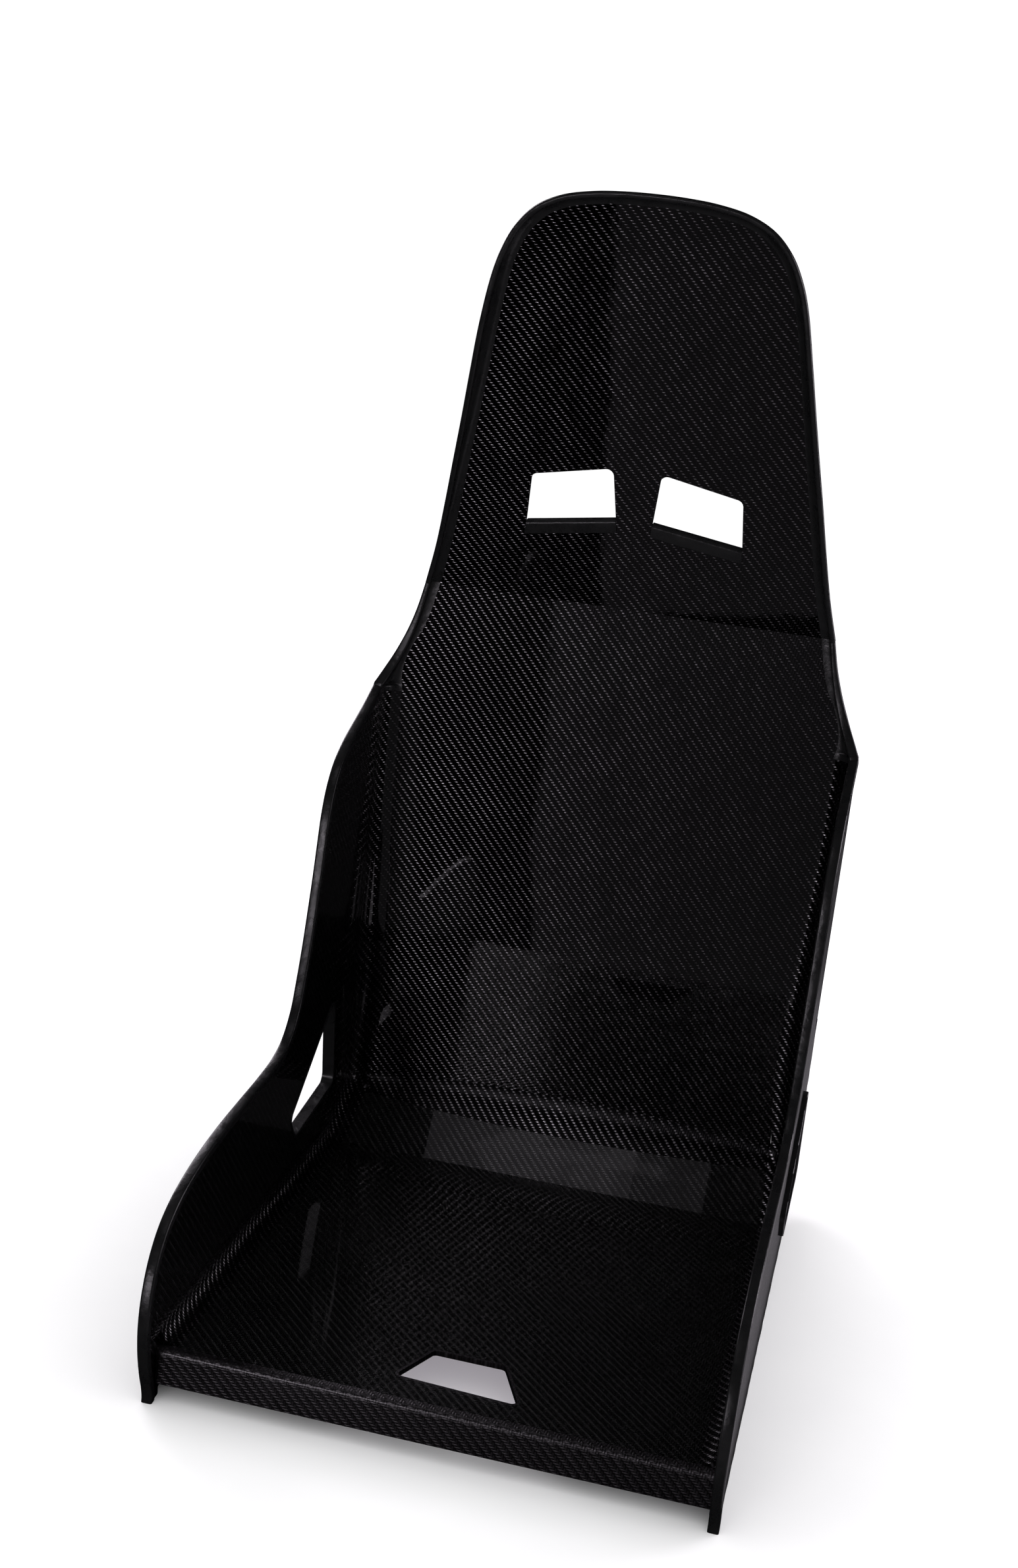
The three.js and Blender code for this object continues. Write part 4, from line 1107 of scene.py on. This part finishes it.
def side_skin_outline():
    rim = rim_inset(WALL_BEAD[1] - RIM_OVERLAP)[SPLIT:]
    rear = [(WALL_FOOT[FOOT_CORNER][0], SPLIT_HEIGHT)]
    for height in (SPLIT_HEIGHT, 120, 60):
        point = BACK.place(0, back_distance(height), -FLOOR_TOTAL)
        rear.append((point[1], height))
    return np.array([*rear, *SIDE_REAR_BOTTOM[::-1], *rim[::-1]])


def wall_place(side):
    return lambda y, z, x: joined(side * x, y, z)


def wall_cloth(side):
    return lambda y, z: (side * (WALL_INNER_X + BACK_KINK[0]) - side * y, z)


def walls(side, word):
    place, cloth = wall_place(side), wall_cloth(side)
    middle = WALL_INNER_X + WALL_SKIN
    inside_parts = (
        ("side", "side_plate", side_plate_outline(), [LAP_HOLE]),
        ("wing", "wing_panel", wing_outline(), []),
    )
    outside_parts = ("side", side_skin_outline(), [LAP_HOLE]), ("wing", wing_outline(), [])
    for name, node, outline, holes in inside_parts:
        plate(
            f"{name}_cloth_{word}", outline, holes, place, WALL_INNER_X, middle, cloth, f"{node}_{word}",
            "gloss_twill", (soft_waves, still),
        )
    for name, outline, holes in outside_parts:
        plate(
            f"{name}_outside_{word}", outline, holes, place, middle + SKIN_GAP, WALL_OUTER_X - OUTER_INSET,
            cloth, f"{name}_outer_skin_{word}", "raw_skin", (still, rough_waves), SKIN_SPACING,
        )
    plate(
        f"lap_slot_collar_{word}", LAP_HOLE, [rounded(LAP_SLOT, LAP_CORNER)], place,
        WALL_INNER_X - LAP_COLLAR_IN, WALL_OUTER_X + LAP_COLLAR_OUT, cloth, f"lap_slot_lip_{word}",
        "smooth_edge", bevel=0.8,
    )


both(walls)


# ---- rim beads


def bead_section(width, height):
    r = BEAD_ROUND
    left = [(r * (1 - c), -r * (1 - k)) for c, k in round_turns(BEAD_ROUND_STEPS + 1)]
    right = [(width - a, b) for a, b in left[::-1]]
    return [(0, -height), *left, *right, (width, -height)]


def bead_rings(stations):
    """Rings along stations of (tip, inward direction, size, direction of travel or None)."""
    rings = []
    for i, (tip, inward, size, travel) in enumerate(stations):
        ahead, behind = stations[min(len(stations) - 1, i + 1)][0], stations[max(0, i - 1)][0]
        tangent = travel if travel is not None else unit(ahead - behind)
        up = unit(np.cross(inward, tangent))
        across = unit(np.cross(tangent, up))
        if across @ inward < 0:
            across = -across
        rings.append([tip + across * a + up * b for a, b in bead_section(*size)])
    return np.array(rings)


def head_rim():
    stations = []
    for p, normal in zip(HEAD_PATH, HEAD_NORMALS):
        s = max(p[1], 0.0)
        tip = HEAD.place(p[0], s, p[2])
        inside_point = HEAD.place(p[0] - normal[0], s - normal[1], p[2])
        stations.append((tip, unit(inside_point - tip), HEAD_BEAD, None))
    tube("head_rim_bead", bead_rings(stations[::-1]), "head_rim", "smooth_edge")


def meeting_direction():
    step = unit(WALL_PATH[SPLIT] - WALL_PATH[SPLIT - 1])
    return np.array([0, step[0], step[1]])


def mirrored(rings, side):
    rings = rings.copy()
    rings[..., 0] *= side
    return rings


def wing_rim(side, word):
    inward = np.array([-1.0, 0, 0])
    stations = []
    for height, half, rise in SHOULDER_ROWS:
        if height > SHOULDER_RIM[-1][0] + 1:
            tip = place_shoulder(height, half, rise)
            stations.append((tip, inward, bead_size(shoulder_blend(height)), None))
    for y, z in WALL_PATH[: SPLIT + 1]:
        stations.append((np.array([RIM_X, y, z]), inward, WALL_BEAD, None))
    stations[-1] = (*stations[-1][:3], meeting_direction())
    tube(f"wing_rim_bead_{word}", mirrored(bead_rings(stations), side), f"wing_rim_{word}", "smooth_edge")


def side_rim(side, word):
    inward = np.array([-1.0, 0, 0])
    stations = [(np.array([RIM_X, y, z]), inward, WALL_BEAD, None) for y, z in WALL_PATH[SPLIT:]]
    stations[0] = (*stations[0][:3], meeting_direction())
    tube(f"side_rim_bead_{word}", mirrored(bead_rings(stations), side), f"side_rim_{word}", "smooth_edge")


head_rim()
both(wing_rim)
both(side_rim)


# ---- front


def fold_axis():
    along = FOLD_RADIUS * (1 - math.sin(PAN_ANGLE)) / math.cos(PAN_ANGLE)
    return PAN.place(0, along, -FOLD_RADIUS)[1:]


def apron_cloth(rows, start):
    return joined(rows[..., 0], across_columns(rows) + start)


def apron():
    top = fold_axis()[1]
    xs = np.linspace(-APRON_HALF, APRON_HALF, APRON_COLUMNS)
    zs = np.linspace(APRON_BOTTOM_Z, top, APRON_ROWS)
    front = np.array([[(x, PAN_FRONT[0], z) for z in zs] for x in xs])
    rear = front + np.array([0, APRON_THICKNESS, 0])
    slab("apron_cloth", front, rear, apron_cloth(front, 0), "front_apron", "satin_twill", bevel=0.5)


def fold():
    axis = fold_axis()
    xs = np.linspace(-APRON_HALF, APRON_HALF, APRON_COLUMNS)
    angles = math.pi - np.linspace(0, 1, FOLD_ROWS) * (math.pi / 2 - PAN_ANGLE)
    outer = [point_on(axis, a, FOLD_RADIUS) for a in angles]
    inner = [point_on(axis, a, FOLD_RADIUS - APRON_THICKNESS) for a in angles]
    outer.append(tuple(PAN.place(0, FOLD_SHELF, 0)[1:]))
    inner.append(tuple(PAN.place(0, FOLD_SHELF, -APRON_THICKNESS)[1:]))
    front = np.array([[(x, *p) for p in outer] for x in xs])
    rear = np.array([[(x, *p) for p in inner] for x in xs])
    cloth = apron_cloth(front, axis[1] - APRON_BOTTOM_Z)
    slab("apron_rounded_fold", front, rear, cloth, "apron_fold", "satin_twill")


apron()
fold()


# ---- stage, light and camera


FLOOR_HALF = 40.0
FLOOR_DARK = (0.86, 0.86, 0.865)
FLOOR_PALE = (0.9, 0.9, 0.9)
WORLD_STRENGTH = 1.2


def floor():
    mesh = bpy.data.meshes.new("floor")
    corners = [(x * FLOOR_HALF, y * FLOOR_HALF, 0) for x, y in ((-1, -1), (1, -1), (1, 1), (-1, 1))]
    mesh.from_pydata(corners, [], [(0, 1, 2, 3)])
    piece = bpy.data.objects.new("floor", mesh)
    COLLECTION.objects.link(piece)
    n = Nodes("pale_floor")
    speck = n.noise(n.place(), 14.0, 4.0)
    n.link(n.colour(speck, FLOOR_DARK, FLOOR_PALE), n.shader.inputs["Base Color"])
    n.settings(Roughness=0.9, Specular_IOR_Level=0.0)
    mesh.materials.append(n.material)
    piece.visible_glossy = False


LIGHT_COLOUR = (1.0, 0.93, 1.02)
GLOW_SPREAD = 60.0


def light(name, centre, target, size, radiance, spread=180.0):
    """Soft rectangular light with an even radiance, facing its target."""
    data = bpy.data.lights.new(name, "AREA")
    data.shape = "RECTANGLE"
    data.size, data.size_y = size
    data.energy = radiance * math.pi * size[0] * size[1]
    data.color = LIGHT_COLOUR
    data.spread = math.radians(spread)
    lamp = bpy.data.objects.new(name, data)
    lamp.location = centre
    lamp.rotation_euler = (Vector(target) - Vector(centre)).to_track_quat("-Z", "Y").to_euler()
    lamp.visible_camera = False
    COLLECTION.objects.link(lamp)
    return lamp


SHEEN_EDGE = (-0.463, -1.95)
SHEEN_TURN = math.atan(0.195)
SHEEN_SIZE = (2.2, 3.4)
SHEEN_RADIANCE = 0.09


def floor_sheen():
    """Dim glow of the floor in front, to the right of a straight edge; only its reflection is seen."""
    lamp = light("floor_sheen", (0, 0, 0), (0, 0, 1), SHEEN_SIZE, SHEEN_RADIANCE)
    across = SHEEN_SIZE[0] / 2
    x = SHEEN_EDGE[0] + across * math.cos(SHEEN_TURN)
    y = SHEEN_EDGE[1] - across * math.sin(SHEEN_TURN)
    lamp.location = (x, y, 0.002)
    lamp.rotation_euler = (math.pi, 0, -SHEEN_TURN)


def world():
    background = bpy.data.worlds.new("studio")
    bpy.context.scene.world = background
    background.use_nodes = True
    shader = background.node_tree.nodes["Background"]
    shader.inputs["Color"].default_value = (1.0, 1.0, 1.0, 1)
    shader.inputs["Strength"].default_value = WORLD_STRENGTH
    background.cycles_visibility.glossy = False


CAMERA_PLACE = Vector((0.26069, -1.47033, 0.92608))
CAMERA_AZIMUTH = 11.58
CAMERA_ELEVATION = 18.18
CAMERA_ROLL = 5.65
LENS = 48.41
SENSOR = 36.0
SHIFT = (0.0036, -0.0056)


def camera():
    data = bpy.data.cameras.new("camera")
    data.sensor_width = SENSOR
    data.sensor_fit = "AUTO"
    data.lens = LENS
    data.shift_x, data.shift_y = SHIFT
    data.clip_start, data.clip_end = 0.05, 50.0
    piece = bpy.data.objects.new("camera", data)
    a, e = math.radians(CAMERA_AZIMUTH), math.radians(CAMERA_ELEVATION)
    forward = Vector((-math.sin(a) * math.cos(e), math.cos(a) * math.cos(e), -math.sin(e)))
    turn = forward.to_track_quat("-Z", "Y").to_matrix() @ Matrix.Rotation(math.radians(CAMERA_ROLL), 3, "Z")
    piece.matrix_world = Matrix.Translation(CAMERA_PLACE) @ turn.to_4x4()
    COLLECTION.objects.link(piece)
    bpy.context.scene.camera = piece


floor()
world()
light("window_left", (-0.86, -2.7, 0.5), (-0.1, 0.2, 0.5), (0.76, 0.68), 5.4)
light("ceiling", (-0.45, -0.8, 2.5), (-0.1, 0.1, 0.4), (0.6, 0.9), 0.5)
light("rear_left", (-1.6, 1.5, 1.3), (0, 0.2, 0.4), (1.2, 1.2), 4.0)
light("rear_right", (1.8, 1.2, 0.9), (0, 0.2, 0.4), (1.0, 1.4), 4.0)
light("side_right", (2.0, -0.2, 0.8), (0, 0.0, 0.3), (0.8, 1.2), 1.5)
light("under_pan", (0.01, -0.127, 0.012), (0.01, -0.127, 0.0), (0.22, 0.11), 0.32)
light("ramp_glow", (-0.04, 0.208, 0.14), (-0.04, 0.208, 0.0), (0.2, 0.056), 0.027, GLOW_SPREAD)
light("ramp_glow_end", (0.095, 0.208, 0.14), (0.095, 0.208, 0.0), (0.07, 0.056), 0.013, GLOW_SPREAD)
light("side_floor", (0.47, 0.2, 0.003), (0.47, 0.2, 1.0), (0.48, 1.0), 0.4)
floor_sheen()
camera()
bpy.context.scene.view_settings.view_transform = "Standard"
